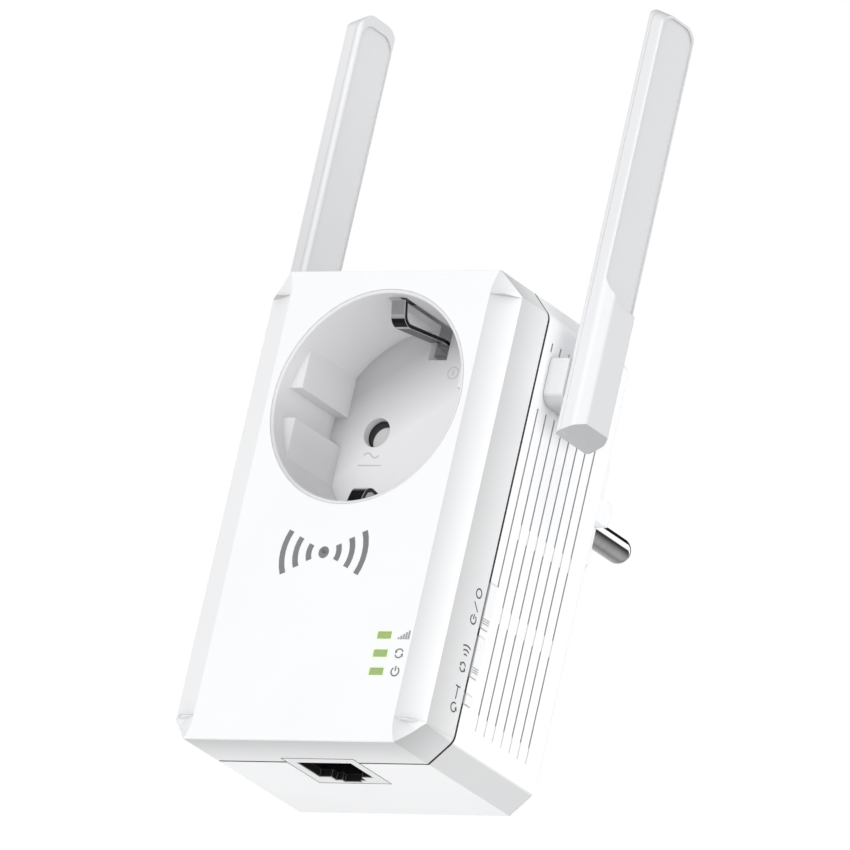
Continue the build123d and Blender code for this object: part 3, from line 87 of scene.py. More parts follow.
class Shader:
    """A material under construction: short calls that add and join nodes."""

    def __init__(self, name):
        self.material = bpy.data.materials.new(name)
        self.material.use_nodes = True
        self.tree = self.material.node_tree
        self.tree.nodes.clear()
        self.output = self.tree.nodes.new("ShaderNodeOutputMaterial")
        self.bsdf = self.tree.nodes.new("ShaderNodeBsdfPrincipled")
        self.join(self.bsdf.outputs[0], self.output.inputs["Surface"])
        self.place = self.node("ShaderNodeTexCoord").outputs["Object"]

    def node(self, kind, **settings):
        made = self.tree.nodes.new(kind)
        for key, value in settings.items():
            setattr(made, key, value)
        return made

    def join(self, source, target):
        self.tree.links.new(source, target)

    def feed(self, socket, value):
        """Joins an output, or writes a plain value."""
        if isinstance(value, bpy.types.NodeSocket):
            self.join(value, socket)
        else:
            socket.default_value = value

    def math(self, operation, *values, clamp=False):
        made = self.node("ShaderNodeMath", operation=operation, use_clamp=clamp)
        for socket, value in zip(made.inputs, values):
            self.feed(socket, value)
        return made.outputs[0]

    def times(self, first, *others):
        """Product of two or more values."""
        product = first
        for other in others:
            product = self.math("MULTIPLY", product, other)
        return product

    def reach(self, across, along):
        """Length of the way given by its two parts."""
        return self.math("SQRT", self.math("ADD", self.times(across, across), self.times(along, along)))

    def off(self, value, centre):
        """Distance of value from centre, without its sign."""
        return self.math("ABSOLUTE", self.math("SUBTRACT", value, centre))

    def noise(self, scale, detail=2.0, roughness=0.5):
        made = self.node("ShaderNodeTexNoise")
        self.join(self.place, made.inputs["Vector"])
        made.inputs["Scale"].default_value = scale
        made.inputs["Detail"].default_value = detail
        made.inputs["Roughness"].default_value = roughness
        return made.outputs["Fac"]

    def span(self, value, low, high, out_low, out_high):
        """Maps value from low..high to out_low..out_high, held at the ends."""
        made = self.node("ShaderNodeMapRange")
        for key, given in zip(
            ("Value", "From Min", "From Max", "To Min", "To Max"),
            (value, low, high, out_low, out_high),
        ):
            self.feed(made.inputs[key], given)
        return made.outputs["Result"]

    def blend(self, factor, first, second, mode="MIX"):
        """Mixes two colours."""
        made = self.node("ShaderNodeMix", data_type="RGBA", blend_type=mode)
        self.feed(made.inputs["Factor"], factor)
        self.feed(made.inputs[6], first)
        self.feed(made.inputs[7], second)
        return made.outputs[2]

    def toned(self, colour, tone):
        """The colour, deepened by a tone from 0 to 1."""
        return self.blend(1.0, colour, self.blend(tone, grey(0.0), grey(1.0)), mode="MULTIPLY")

    def bump(self, height, distance, normal=None):
        made = self.node("ShaderNodeBump")
        made.inputs["Distance"].default_value = distance
        self.join(height, made.inputs["Height"])
        if normal is not None:
            self.join(normal, made.inputs["Normal"])
        return made.outputs["Normal"]

    def rounded(self, radius):
        """Surface normal with the edges rounded off."""
        made = self.node("ShaderNodeBevel", samples=LOOK_SAMPLES)
        made.inputs["Radius"].default_value = radius
        return made.outputs["Normal"]

    def hollow(self, distance):
        """1 in the open, towards 0 in narrow places."""
        made = self.node("ShaderNodeAmbientOcclusion", samples=LOOK_SAMPLES)
        made.inputs["Distance"].default_value = distance
        return made.outputs["AO"]

    def edge(self, normal):
        """0 on flat faces, towards 1 on rounded edges."""
        flat = self.node("ShaderNodeNewGeometry").outputs["True Normal"]
        made = self.node("ShaderNodeVectorMath", operation="DOT_PRODUCT")
        self.join(normal, made.inputs[0])
        self.join(flat, made.inputs[1])
        return self.span(made.outputs["Value"], 0.8, 0.999, 1.0, 0.0)

    def axes(self):
        """The x, y and z outputs of the place in the part's frame."""
        made = self.node("ShaderNodeSeparateXYZ")
        self.join(self.place, made.inputs[0])
        return made.outputs

    def facing(self):
        """The x, y and z outputs of the face's own normal."""
        made = self.node("ShaderNodeSeparateXYZ")
        self.join(self.node("ShaderNodeNewGeometry").outputs["True Normal"], made.inputs[0])
        return made.outputs

    def mixed(self, factor, first, second):
        """first where factor is 0, second where it is 1."""
        made = self.node("ShaderNodeMix", data_type="FLOAT")
        for socket, value in zip(made.inputs[0:1] + made.inputs[2:4], (factor, first, second)):
            self.feed(socket, value)
        return made.outputs[0]

    def set(self, **values):
        for key, value in values.items():
            self.feed(self.bsdf.inputs[key.replace("_", " ")], value)


def grey(value):
    """Neutral colour; lights may go above 1."""
    return (value, value, value, 1.0)


# ======================================================================
# Materials
# ======================================================================

WHITE = (0.90, 0.905, 0.915, 1.0)
EDGE_HIGHLIGHT_GREY = 0.97                    # grey of the edges, painted lighter as a highlight
MATERIALS = {}

# Scales of the noises, in waves per metre
CLOUDS = 35.0
POLISH = 140.0
SMEARS = 18.0
SPARK_GRAIN = 3300.0
# Reach of the painted shade in joints and narrow places
CREASE_SHADE_REACH = 1.6 * MM


def moulded_plastic(
    name, colour, roughness, grain, shade=None, crease_shade_tone=0.55, edge_radius=0.18 * MM, edge_highlight=0.35
):
    """Moulded plastic with a fine grain and polish that varies, painted shade in its joints and narrow
    places, and edges painted lighter as a highlight and made glossier as if rubbed.
    """
    made = Shader(name)
    normal = made.rounded(edge_radius)
    lit_and_rubbed_edges = made.edge(normal)
    worn = tuple(channel * 0.985 for channel in colour[:3]) + (1.0,)
    tint = made.blend(made.span(made.noise(CLOUDS, detail=3.0), 0.35, 0.65, 0.0, 1.0), worn, colour)
    # Painted shade: darker in joints and narrow places, where less light comes in
    tone = made.span(made.hollow(CREASE_SHADE_REACH), 0.15, 0.85, crease_shade_tone, 1.0)
    if shade is not None:
        tone = made.times(tone, shade(made))
    polish = made.noise(POLISH, detail=4.0)
    smears = made.noise(SMEARS, detail=5.0, roughness=0.7)
    rough = made.span(polish, 0.3, 0.7, roughness - 0.04, roughness + 0.04)
    rough = made.math("ADD", rough, made.span(smears, 0.45, 0.75, 0.0, 0.05))
    rough = made.math("SUBTRACT", rough, made.times(lit_and_rubbed_edges, 0.08), clamp=True)
    made.set(
        # Edges are painted lighter as a highlight; their roughness is lowered as if rubbed
        Base_Color=made.blend(made.times(lit_and_rubbed_edges, edge_highlight), made.toned(tint, tone), grey(EDGE_HIGHLIGHT_GREY)),
        Roughness=rough,
        IOR=1.49,
        Normal=made.bump(made.noise(SPARK_GRAIN), grain, normal=normal),
    )
    return made


# Tones of painted shade, 1 being the full colour
BEVEL_TONES = (0.72, 0.98)       # at the face, at the side
SIDE_TONES = (0.70, 1.02)        # at the face, at the seam
COVER_CUT_TONE = 0.78
HOUSING_CUT_TONE = 0.64
BOTTOM_TONES = (1.0, 0.96)       # at the seam, at the back
SEAM_TONE = 0.12
WELL_FLOOR_TONES = (0.52, 1.00)  # at the top left, at the lower right
WELL_WALL_TONES = (0.98, 0.86)   # at the mouth, at the floor
LOW_RIB_TONE = 0.84
PAD_TONE, BESIDE_PAD_TONE = 0.8, 0.03
FOOT_TONE = 0.66
PANEL_TONE = 0.93
LEFT_ANTENNA_TONES = (0.84, 1.0)  # at its foot, at its top
OUTER_TONE = 0.95
JACK_TONES = (0.8, 0.015)        # at the mouth of the opening, within it


def right_half(made, x):
    """0 left of the middle, 1 right of it."""
    return made.span(x, -MIDDLE_BLEND, MIDDLE_BLEND, 0.0, 1.0)


def lower_cut(made):
    """1 on the corner cuts that face down, 0 elsewhere."""
    down = made.facing()[2]
    return made.times(made.span(down, -0.45, -0.6, 0.0, 1.0), made.span(down, -0.85, -0.75, 0.0, 1.0))


def cover_shade(made):
    """Painted shade on the cover: its right bevel darker towards the face, its sides darker towards the
    front, and its lower corner cuts darker.
    """
    x, y, z = made.axes()
    facing = made.facing()
    sideways = made.math("ABSOLUTE", facing[0])
    on_bevel = made.times(
        made.span(sideways, 0.05, 0.15, 0.0, 1.0),
        made.span(sideways, 0.60, 0.68, 1.0, 0.0),
    )
    across = made.mixed(
        right_half(made, x), 1.0, made.span(x, SIDE_X - BEVEL_WIDTH, SIDE_X, *BEVEL_TONES)
    )
    on_side = made.span(made.math("ABSOLUTE", facing[1]), 0.1, 0.3, 1.0, 0.0)
    return made.times(
        made.mixed(on_bevel, 1.0, across),
        made.mixed(on_side, 1.0, made.span(y, FACE_Y, SEAM_Y, *SIDE_TONES)),
        made.mixed(lower_cut(made), 1.0, COVER_CUT_TONE),
    )


def housing_shade(made):
    """Painted shade on the housing: darker lower corner cuts, a bottom that darkens towards the back,
    and a tongue inside the seam painted dark as the shadow in the gap.
    """
    y = made.axes()[1]
    downwards = made.span(made.facing()[2], -0.9, -0.98, 0.0, 1.0)
    return made.times(
        made.mixed(downwards, 1.0, made.span(y, SEAM_Y, HOUSING_BACK_Y, *BOTTOM_TONES)),
        made.mixed(lower_cut(made), 1.0, HOUSING_CUT_TONE),
        # Painted shadow: the tongue inside the seam is near black
        made.span(y, TONGUE_Y, TONGUE_Y + 0.05 * MM, SEAM_TONE, 1.0),
    )


def well_shade(made):
    """Painted shade in the socket: its floor darker towards the top left, its wall darker towards the
    floor and at the lower left.
    """
    x, y, z = made.axes()
    frontal = made.times(made.facing()[1], -1.0)
    at_floor = made.times(
        made.span(frontal, 0.7, 0.9, 0.0, 1.0),
        made.span(y, FLOOR_Y - 1.0 * MM, FLOOR_Y - 0.5 * MM, 0.0, 1.0),
    )
    slant = made.math("SUBTRACT", made.times(x, 0.7), z)
    floor = made.span(slant, -20.0 * MM, -5.0 * MM, *WELL_FLOOR_TONES)
    low_left = made.times(
        made.span(x, -12.0 * MM, -6.0 * MM, 1.0, 0.0),
        made.span(z, -4.0 * MM, 4.0 * MM, 1.0, 0.0),
    )
    wall = made.times(
        made.span(y, FACE_Y, FLOOR_Y, *WELL_WALL_TONES), made.mixed(low_left, 1.0, LOW_RIB_TONE)
    )
    return made.mixed(at_floor, wall, floor)


def shutter_shade(made):
    """Painted shade on the shutter: near black, as the shadow of a deeper hollow, except on its pads,
    lower right behind the pin holes, which show lighter.
    """
    x, y, z = made.axes()
    across = made.math("SUBTRACT", made.off(x, 0.8 * MM), PIN_X - 0.1 * MM)
    along = made.math("SUBTRACT", z, SOCKET_Z - 0.9 * MM)
    return made.span(made.reach(across, along), 2.4 * MM, 2.55 * MM, PAD_TONE, BESIDE_PAD_TONE)


def antenna_shade(made):
    """Painted shade on the antennas: darker feet, panels and outward faces, and a left antenna that
    darkens downwards.
    """
    facing = made.facing()
    x, y, z = made.axes()
    upwards = made.span(z, 25.0 * MM, 70.0 * MM, *LEFT_ANTENNA_TONES)
    return made.times(
        made.span(facing[2], -0.2, -0.5, 1.0, FOOT_TONE),
        made.span(facing[1], -0.97, -0.93, PANEL_TONE, 1.0),
        made.mixed(right_half(made, x), upwards, 1.0),
        made.span(made.math("ABSOLUTE", facing[0]), 0.6, 0.95, 1.0, OUTER_TONE),
    )


def jack_shade(made):
    """Painted shade on the jack's frame: pale outside, and painted near black within its opening, where
    shade falls.
    """
    z = made.axes()[2]
    outside = made.span(made.facing()[2], -0.9, -0.8, 1.0, 0.0)
    within = made.span(z, JACK_LOW.z, JACK_LOW.z + 0.25 * MM, *JACK_TONES)
    return made.math("MAXIMUM", outside, within)


def metal(name, colour, roughness, reflection_bands=0.0):
    """Plated metal with fine scratches and dull patches; a number of bands adds painted reflection
    bands, dark and light, and edges painted bright as a highlight.
    """
    made = Shader(name)
    tone = made.span(made.noise(260.0, detail=3.0), 0.45, 0.75, 1.0, 0.85)
    scratch = made.noise(1500.0, detail=3.0)
    normal = made.rounded(0.22 * MM if reflection_bands else 0.12 * MM)
    painted_shine = 0.0
    if reflection_bands:
        # Painted reflection: dark and light bands by the direction the surface reflects, and edges
        # painted bright as a highlight
        split = made.node("ShaderNodeSeparateXYZ")
        made.join(made.node("ShaderNodeTexCoord").outputs["Reflection"], split.inputs[0])
        across = made.math("ADD", made.times(split.outputs[0], 0.55), split.outputs[2])
        wave = made.math("SINE", made.times(across, reflection_bands))
        tone = made.times(made.span(wave, -0.25, 0.35, 0.04, 1.0), tone)
        painted_shine = made.edge(normal)
    made.set(
        Base_Color=made.blend(painted_shine, made.toned(colour, tone), grey(0.95)),
        Metallic=made.math("SUBTRACT", 1.0, painted_shine),
        Roughness=made.span(scratch, 0.3, 0.7, roughness * 0.8, roughness * 1.3),
        Normal=made.bump(scratch, 5e-7, normal=normal),
    )
    return made


def small_part(name, colour, roughness, variation=0.12):
    """Small-part finish with colour, polish and surface variation."""
    made = Shader(name)
    tone = made.span(made.noise(220.0, detail=3.0), 0.3, 0.7, 1.0 - variation, 1.0)
    polish = made.noise(700.0, detail=3.0)
    made.set(
        Base_Color=made.toned(colour, tone),
        Roughness=made.span(polish, 0.3, 0.7, roughness * 0.8, min(1.0, roughness * 1.25)),
        Normal=made.bump(made.noise(2500.0), 4e-6, normal=made.rounded(0.08 * MM)),
    )
    return made


LIGHT_STRENGTH = 0.35


def light_window():
    """Translucent light guide that glows green, a little unevenly."""
    made = Shader("light_window")
    uneven = made.span(made.noise(900.0), 0.3, 0.7, 0.85, 1.0)
    made.set(
        Base_Color=(0.24, 0.34, 0.13, 1.0),
        Roughness=made.span(made.noise(600.0), 0.3, 0.7, 0.25, 0.4),
        Emission_Color=(0.44, 0.60, 0.24, 1.0),
        Emission_Strength=made.times(uneven, LIGHT_STRENGTH),
        Normal=made.bump(made.noise(2500.0), 3e-6),
    )
    return made


def build_materials():
    made = MATERIALS
    made["cover"] = moulded_plastic("cover_plastic", WHITE, 0.32, 3e-6, shade=cover_shade)
    made["housing"] = moulded_plastic("housing_plastic", WHITE, 0.42, 6e-6, shade=housing_shade)
    made["socket"] = moulded_plastic(
        "socket_plastic",
        (0.88, 0.88, 0.895, 1.0),
        0.45,
        5e-6,
        shade=well_shade,
        crease_shade_tone=0.85,
    )
    made["shutter"] = moulded_plastic("shutter_plastic", grey(0.80), 0.5, 5e-6, shade=shutter_shade)
    made["antenna"] = moulded_plastic(
        "antenna_plastic",
        (0.93, 0.935, 0.955, 1.0),
        0.38,
        5e-6,
        shade=antenna_shade,
        crease_shade_tone=0.7,
        edge_radius=0.12 * MM,
        edge_highlight=0.9,
    )
    made["button"] = moulded_plastic("button_plastic", WHITE, 0.30, 2e-6)
    made["jack"] = moulded_plastic("jack_plastic", WHITE, 0.30, 2e-6, shade=jack_shade)
    made["chrome"] = metal("nickel_plate", (0.86, 0.86, 0.87, 1.0), 0.08)
    made["spring"] = metal("sprung_plate", (0.80, 0.80, 0.82, 1.0), 0.12, reflection_bands=7.0)
    made["steel"] = metal("bright_steel", (0.70, 0.70, 0.71, 1.0), 0.2)
    made["brass"] = metal("contact_brass", (0.83, 0.62, 0.30, 1.0), 0.25)
    made["black"] = small_part("black_plastic", (0.006, 0.006, 0.007, 1.0), 0.45)
    made["board"] = small_part("circuit_board", (0.02, 0.12, 0.05, 1.0), 0.35)
    made["tape"] = small_part("coil_tape", (0.80, 0.60, 0.08, 1.0), 0.35)
    made["sleeve"] = small_part("can_sleeve", (0.03, 0.05, 0.10, 1.0), 0.3)
    made["ceramic"] = small_part("ceramic_blue", (0.04, 0.12, 0.45, 1.0), 0.3)
    made["film"] = small_part("insulation_film", (0.05, 0.05, 0.055, 1.0), 0.4)
    made["label"] = small_part("label_paper", (0.72, 0.73, 0.75, 1.0), 0.55, variation=0.04)
    made["print"] = small_part("grey_print", (0.25, 0.25, 0.26, 1.0), 0.5)
    made["pale_print"] = small_part("pale_print", (0.38, 0.38, 0.39, 1.0), 0.5)
    # Grey painted as the shade in engraved marks
    made["engraved"] = small_part("engraving_shade_grey", (0.60, 0.60, 0.61, 1.0), 0.5)
    # Near black painted as the shade in gaps
    made["gap"] = small_part("gap_shade_dark", (0.06, 0.06, 0.065, 1.0), 0.6)
    made["side_print"] = small_part("side_print", (0.10, 0.10, 0.105, 1.0), 0.5)
    made["glass"] = small_part("fuse_glass", (0.8, 0.85, 0.85, 1.0), 0.05)
    made["glass"].set(Transmission_Weight=0.8)
    made["lamp"] = light_window()
    add_glow(made["cover"])


GLOW_REACH = 0.75 * MM
GLOW_SHARE = 0.9
GLOW_COLOUR = (0.74, 0.92, 0.36, 1.0)


def add_glow(made):
    """Pale green glow painted into the face's colour round the windows, as the lamps' light spreading
    on it.
    """
    x, y, z = made.axes()
    total = 0.0
    for centre in WINDOW_Z:
        beside, above = (
            made.math("MAXIMUM", made.math("SUBTRACT", made.off(value, middle), size / 2), 0.0)
            for value, middle, size in zip((x, z), (WINDOW_X, centre), WINDOW_SIZE)
        )
        near = made.span(made.reach(beside, above), 0.0, GLOW_REACH, 1.0, 0.0)
        total = made.math("MAXIMUM", total, made.times(near, near))
    at_face = made.span(y, FACE_Y + 0.1 * MM, FACE_Y + 0.5 * MM, 1.0, 0.0)
    plain = made.bsdf.inputs["Base Color"].links[0].from_socket
    made.set(Base_Color=made.blend(made.times(total, at_face, GLOW_SHARE), plain, GLOW_COLOUR))


FINISHES = {
    "cover": ("front_cover",),
    "housing": ("rear_housing",),
    "socket": ("socket_insert", "shutter_cover"),
    "shutter": ("pin_shutter",),
    "antenna": (
        "left_antenna_shell",
        "right_antenna_shell",
        "left_antenna_base",
        "right_antenna_base",
    ),
    "button": ("power_button", "pair_button", "reset_button"),
    "jack": ("jack_frame",),
    "chrome": ("live_pin", "neutral_pin"),
    "spring": ("socket_earth_clip", "plug_earth_clip"),
    "brass": ("live_contact", "neutral_contact", "board_link_pins", "jack_contacts", "lead_plugs"),
    "board": ("main_board", "power_board", "left_antenna_element", "right_antenna_element"),
    "tape": ("transformer", "safety_capacitor"),
    "sleeve": ("smoothing_capacitors", "output_capacitor"),
    "ceramic": ("varistor",),
    "glass": ("fuse",),
    "film": ("insulation_sheet",),
    "label": ("rating_label",),
    "lamp": ("light_guide", "status_lights"),
    "steel": (
        "earth_post",
        "left_hinge_clip",
        "right_hinge_clip",
        "hinge_washers",
        "shutter_spring",
        "case_screws",
        "socket_screws",
        "board_screws",
        "shield_can",
    ),
    "black": (
        "network_jack",
        "power_switch",
        "pair_switch",
        "reset_switch",
        "wifi_chip",
        "memory_chip",
        "network_transformer",
        "rectifier",
        "power_plunger",
        "pair_plunger",
        "reset_plunger",
        "left_antenna_lead",
        "right_antenna_lead",
        "board_leads",
        "mains_wires",
    ),
}


def dress_frame():
    """Gives every CAD node its material."""
    for finish, names in FINISHES.items():
        for name in names:
            slots = NODES[name].data.materials
            slots.clear()
            slots.append(MATERIALS[finish].material)
    undressed = set(NODES) - {name for names in FINISHES.values() for name in names}
    if undressed:
        raise ValueError(f"no finish for {sorted(undressed)}")


# ======================================================================
# Printed and engraved marks
# ======================================================================

PRINT_THICKNESS = 0.02 * MM
ARC_STEP = 8.0


def arc_points(centre, radius, start, end):
    """Points along a circular arc, in degrees, anticlockwise."""
    count = max(2, int(abs(end - start) / ARC_STEP) + 1)
    turns = (radians(start + (end - start) * index / (count - 1)) for index in range(count))
    return [(centre[0] + radius * cos(turn), centre[1] + radius * sin(turn)) for turn in turns]


def stroke(points, width, closed=False):
    """Quads of a line of constant width through points; closed joins its ends."""
    count = len(points)
    sides = []
    for index, point in enumerate(points):
        before = points[index - 1] if index or closed else point
        after = points[(index + 1) % count] if index + 1 < count or closed else point
        along = (Vector(after) - Vector(before)).normalized()
        across = Vector((-along.y, along.x)) * width / 2
        sides.append((Vector(point) + across, Vector(point) - across))
    steps = range(count if closed else count - 1)
    return [
        (sides[i][0], sides[i][1], sides[(i + 1) % count][1], sides[(i + 1) % count][0])
        for i in steps
    ]


def bar(x_low, x_high, y_low, y_high):
    return [((x_low, y_low), (x_high, y_low), (x_high, y_high), (x_low, y_high))]


def mark(name, shapes, corner, across, up, finish):
    """Thin printed mark: shapes are flat outlines in mm, laid from corner along across and up."""
    mesh = bpy.data.meshes.new(name)
    build = bmesh.new()
    outwards = across.cross(up)
    for shape in shapes:
        lower = [build.verts.new(corner + (across * point[0] + up * point[1]) * MM) for point in shape]
        upper = [build.verts.new(vert.co + outwards * PRINT_THICKNESS) for vert in lower]
        build.faces.new(upper)
        build.faces.new(list(reversed(lower)))
        for index in range(len(shape)):
            after = (index + 1) % len(shape)
            build.faces.new((lower[index], lower[after], upper[after], upper[index]))
    bmesh.ops.recalc_face_normals(build, faces=build.faces)
    build.to_mesh(mesh)
    build.free()
    piece = bpy.data.objects.new(name, mesh)
    bpy.context.scene.collection.objects.link(piece)
    mesh.materials.append(MATERIALS[finish].material)
    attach(piece, "housing")


def power_sign(centre, radius, width):
    """Open ring with an upright bar in its gap."""
    x, y = centre
    ring = stroke(arc_points(centre, radius, 125, 415), width)
    return ring + bar(x - width / 2, x + width / 2, y + radius * 0.1, y + radius * 1.25)


def pairing_sign(centre, radius, width):
    """Two arrows that chase each other round a circle."""
    shapes = []
    for start in (20, 200):
        shapes += stroke(arc_points(centre, radius, start, start + 125), width)
        tip = arc_points(centre, radius, start + 125, start + 165)[-1]
        inner = arc_points(centre, radius - 1.5 * width, start + 125, start + 126)[0]
        outer = arc_points(centre, radius + 1.5 * width, start + 125, start + 126)[0]
        shapes.append((inner, outer, tip))
    return shapes


def reset_sign(centre, radius, width):
    """One arrow that turns back on itself."""
    shapes = stroke(arc_points(centre, radius, 60, 340), width)
    tip = arc_points(centre, radius, 340, 385)[-1]
    inner = arc_points(centre, radius - 1.6 * width, 340, 341)[0]
    outer = arc_points(centre, radius + 1.6 * width, 340, 341)[0]
    shapes.append((inner, outer, tip))
    return shapes


RIGHT, UP, BACK = Vector((1, 0, 0)), Vector((0, 0, 1)), Vector((0, 1, 0))
SIGN_RADIUS = 0.8
SIGN_LINE = 0.26

WIRELESS_MIDDLE = (-1.5, -26.8)
WIRELESS_RADII = (3.2, 6.0, 8.8)
WIRELESS_SPREAD = 27
WIRELESS_LINE = 1.15
SIGNAL_BARS = 5
SIGNAL_LEFT, SIGNAL_PITCH, SIGNAL_WIDTH = 18.5, 0.52, 0.36
LIGHT_SIGN_X = 19.5
BUTTON_SIGN_Y = -43.2


def ring(centre, radius, width):
    """Closed ring."""
    return stroke(arc_points(centre, radius, 0, 344), width, closed=True)


def mark_face():
    """Generic wireless sign, and a sign beside each light."""
    on_face = Vector((0, FACE_Y, 0))
    shapes = ring(WIRELESS_MIDDLE, 0.55, 1.1)
    for radius in WIRELESS_RADII:
        for side in (0, 180):
            ends = (side - WIRELESS_SPREAD, side + WIRELESS_SPREAD)
            shapes += stroke(arc_points(WIRELESS_MIDDLE, radius, *ends), WIRELESS_LINE)
    mark("wireless_sign", shapes, on_face, RIGHT, UP, "print")
    signal_z, link_z, power_z = (z / MM for z in WINDOW_Z)
    bars = []
    for index in range(SIGNAL_BARS):
        left = SIGNAL_LEFT + SIGNAL_PITCH * index
        base = signal_z - 0.75
        bars += bar(left, left + SIGNAL_WIDTH, base, base + 0.35 + 0.32 * index)
    mark("signal_sign", bars, on_face, RIGHT, UP, "pale_print")
    link = pairing_sign((LIGHT_SIGN_X, link_z), SIGN_RADIUS, 0.24)
    mark("link_sign", link, on_face, RIGHT, UP, "print")
    power = power_sign((LIGHT_SIGN_X, power_z), SIGN_RADIUS, 0.27)
    mark("power_sign", power, on_face, RIGHT, UP, "print")


def mark_side():
    """Signs beside the buttons, one above the other."""
    y = BUTTON_SIGN_Y
    waves_from = (y, -42.9)
    signs = {
        "switch_sign": power_sign((y, -35.7), SIGN_RADIUS, SIGN_LINE)
        + stroke([(y + 0.75, -34.1), (y - 0.75, -32.6)], 0.24)
        + ring((y, -30.9), SIGN_RADIUS, SIGN_LINE),
        "pairing_sign": pairing_sign((y, -44.5), SIGN_RADIUS, SIGN_LINE)
        + stroke(arc_points(waves_from, 0.7, 50, 130), SIGN_LINE)
        + stroke(arc_points(waves_from, 1.5, 55, 125), SIGN_LINE)
        + stroke(arc_points(waves_from, 2.3, 60, 120), SIGN_LINE),
        "reset_sign": reset_sign((y, -51.9), SIGN_RADIUS, SIGN_LINE)
        + stroke([(y, -50.4), (y, -48.2)], SIGN_LINE)
        + bar(y - 0.7, y + 0.7, -48.2, -47.94),
    }
    for name, shapes in signs.items():
        mark(name, shapes, Vector((SIDE_X, 0, 0)), BACK, UP, "side_print")


def mark_socket_floor():
    """Shallow wave, line and earth sign in the floor of the socket, painted grey as the shade of
    engraved marks.
    """
    on_floor = Vector((0, FLOOR_Y, 0))
    steps = [0.3 * index for index in range(12)]
    wave = [(-11.2 + step, -1.9 + 0.45 * sin(1.9 * step)) for step in steps]
    mark("mains_wave", stroke(wave, 0.22), on_floor, RIGHT, UP, "engraved")
    mark("mains_line", bar(-12.0, -7.0, -3.9, -3.7), on_floor, RIGHT, UP, "engraved")
    earth = stroke(arc_points((4.04, 13.66), 1.1, 0, 350), 0.18, closed=True)
    mark("earth_sign", earth + bar(3.94, 4.14, 13.1, 14.2), on_floor, RIGHT, UP, "engraved")


def frame_of(x_low, x_high, y_low, y_high, width):
    """Outline of a rectangle."""
    corners = [(x_low, y_low), (x_high, y_low), (x_high, y_high), (x_low, y_high)]
    return stroke(corners, width, closed=True)


def mark_joints():
    """Dark line painted as the shade in the gap round the network jack, bright ring painted as a
    highlight on the socket's rim, border of the blank label.
    """
    sides = (JACK_LOW.x / MM, JACK_HIGH.x / MM, -JACK_LOW.y / MM, -JACK_HIGH.y / MM)
    # Painted shade: dark line where the gap round the jack lies in shade
    mark("jack_gap_shade", frame_of(*sides, 0.22), UP * JACK_LOW.z, RIGHT, -BACK, "gap")
    # Painted highlight: bright ring on the rim of the socket's mouth
    mouth = stroke(arc_points((0, SOCKET_Z / MM), MOUTH_RADIUS, 0, 356), 0.12, closed=True)
    mark("mouth_highlight_ring", mouth, BACK * (FACE_Y + 0.06 * MM), RIGHT, UP, "button")
    inset = 1.5
    sides = (
        -LABEL_LOW.x / MM - inset,
        -LABEL_HIGH.x / MM + inset,
        LABEL_LOW.z / MM + inset,
        LABEL_HIGH.z / MM - inset,
    )
    mark("label_border", frame_of(*sides, 0.25), BACK * LABEL_HIGH.y, -RIGHT, UP, "print")


# ======================================================================
# Stage: floor, world, lights, camera
# ======================================================================

FLOOR_HALF = 3.0


def build_floor(level):
    """Pale floor that is seen from above only, so that a view from below shows the object."""
    mesh = bpy.data.meshes.new("floor")
    corners = [(x * FLOOR_HALF, y * FLOOR_HALF, level) for x, y in ((-1, -1), (1, -1), (1, 1), (-1, 1))]
    mesh.from_pydata(corners, [], [(0, 1, 2, 3)])
    floor = bpy.data.objects.new("floor", mesh)
    bpy.context.scene.collection.objects.link(floor)
    made = Shader("floor_pale")
    tone = made.span(made.noise(6.0, detail=4.0), 0.3, 0.7, 0.0, 1.0)
    made.set(Base_Color=made.blend(tone, grey(0.86), grey(0.88)), Roughness=0.8)
    clear = made.node("ShaderNodeBsdfTransparent")
    switch = made.node("ShaderNodeMixShader")
    made.join(made.node("ShaderNodeNewGeometry").outputs["Backfacing"], switch.inputs[0])
    made.join(made.bsdf.outputs[0], switch.inputs[1])
    made.join(clear.outputs[0], switch.inputs[2])
    made.join(switch.outputs[0], made.output.inputs["Surface"])
    mesh.materials.append(made.material)
    floor.visible_diffuse = False
    floor.visible_shadow = False
    floor.visible_glossy = False


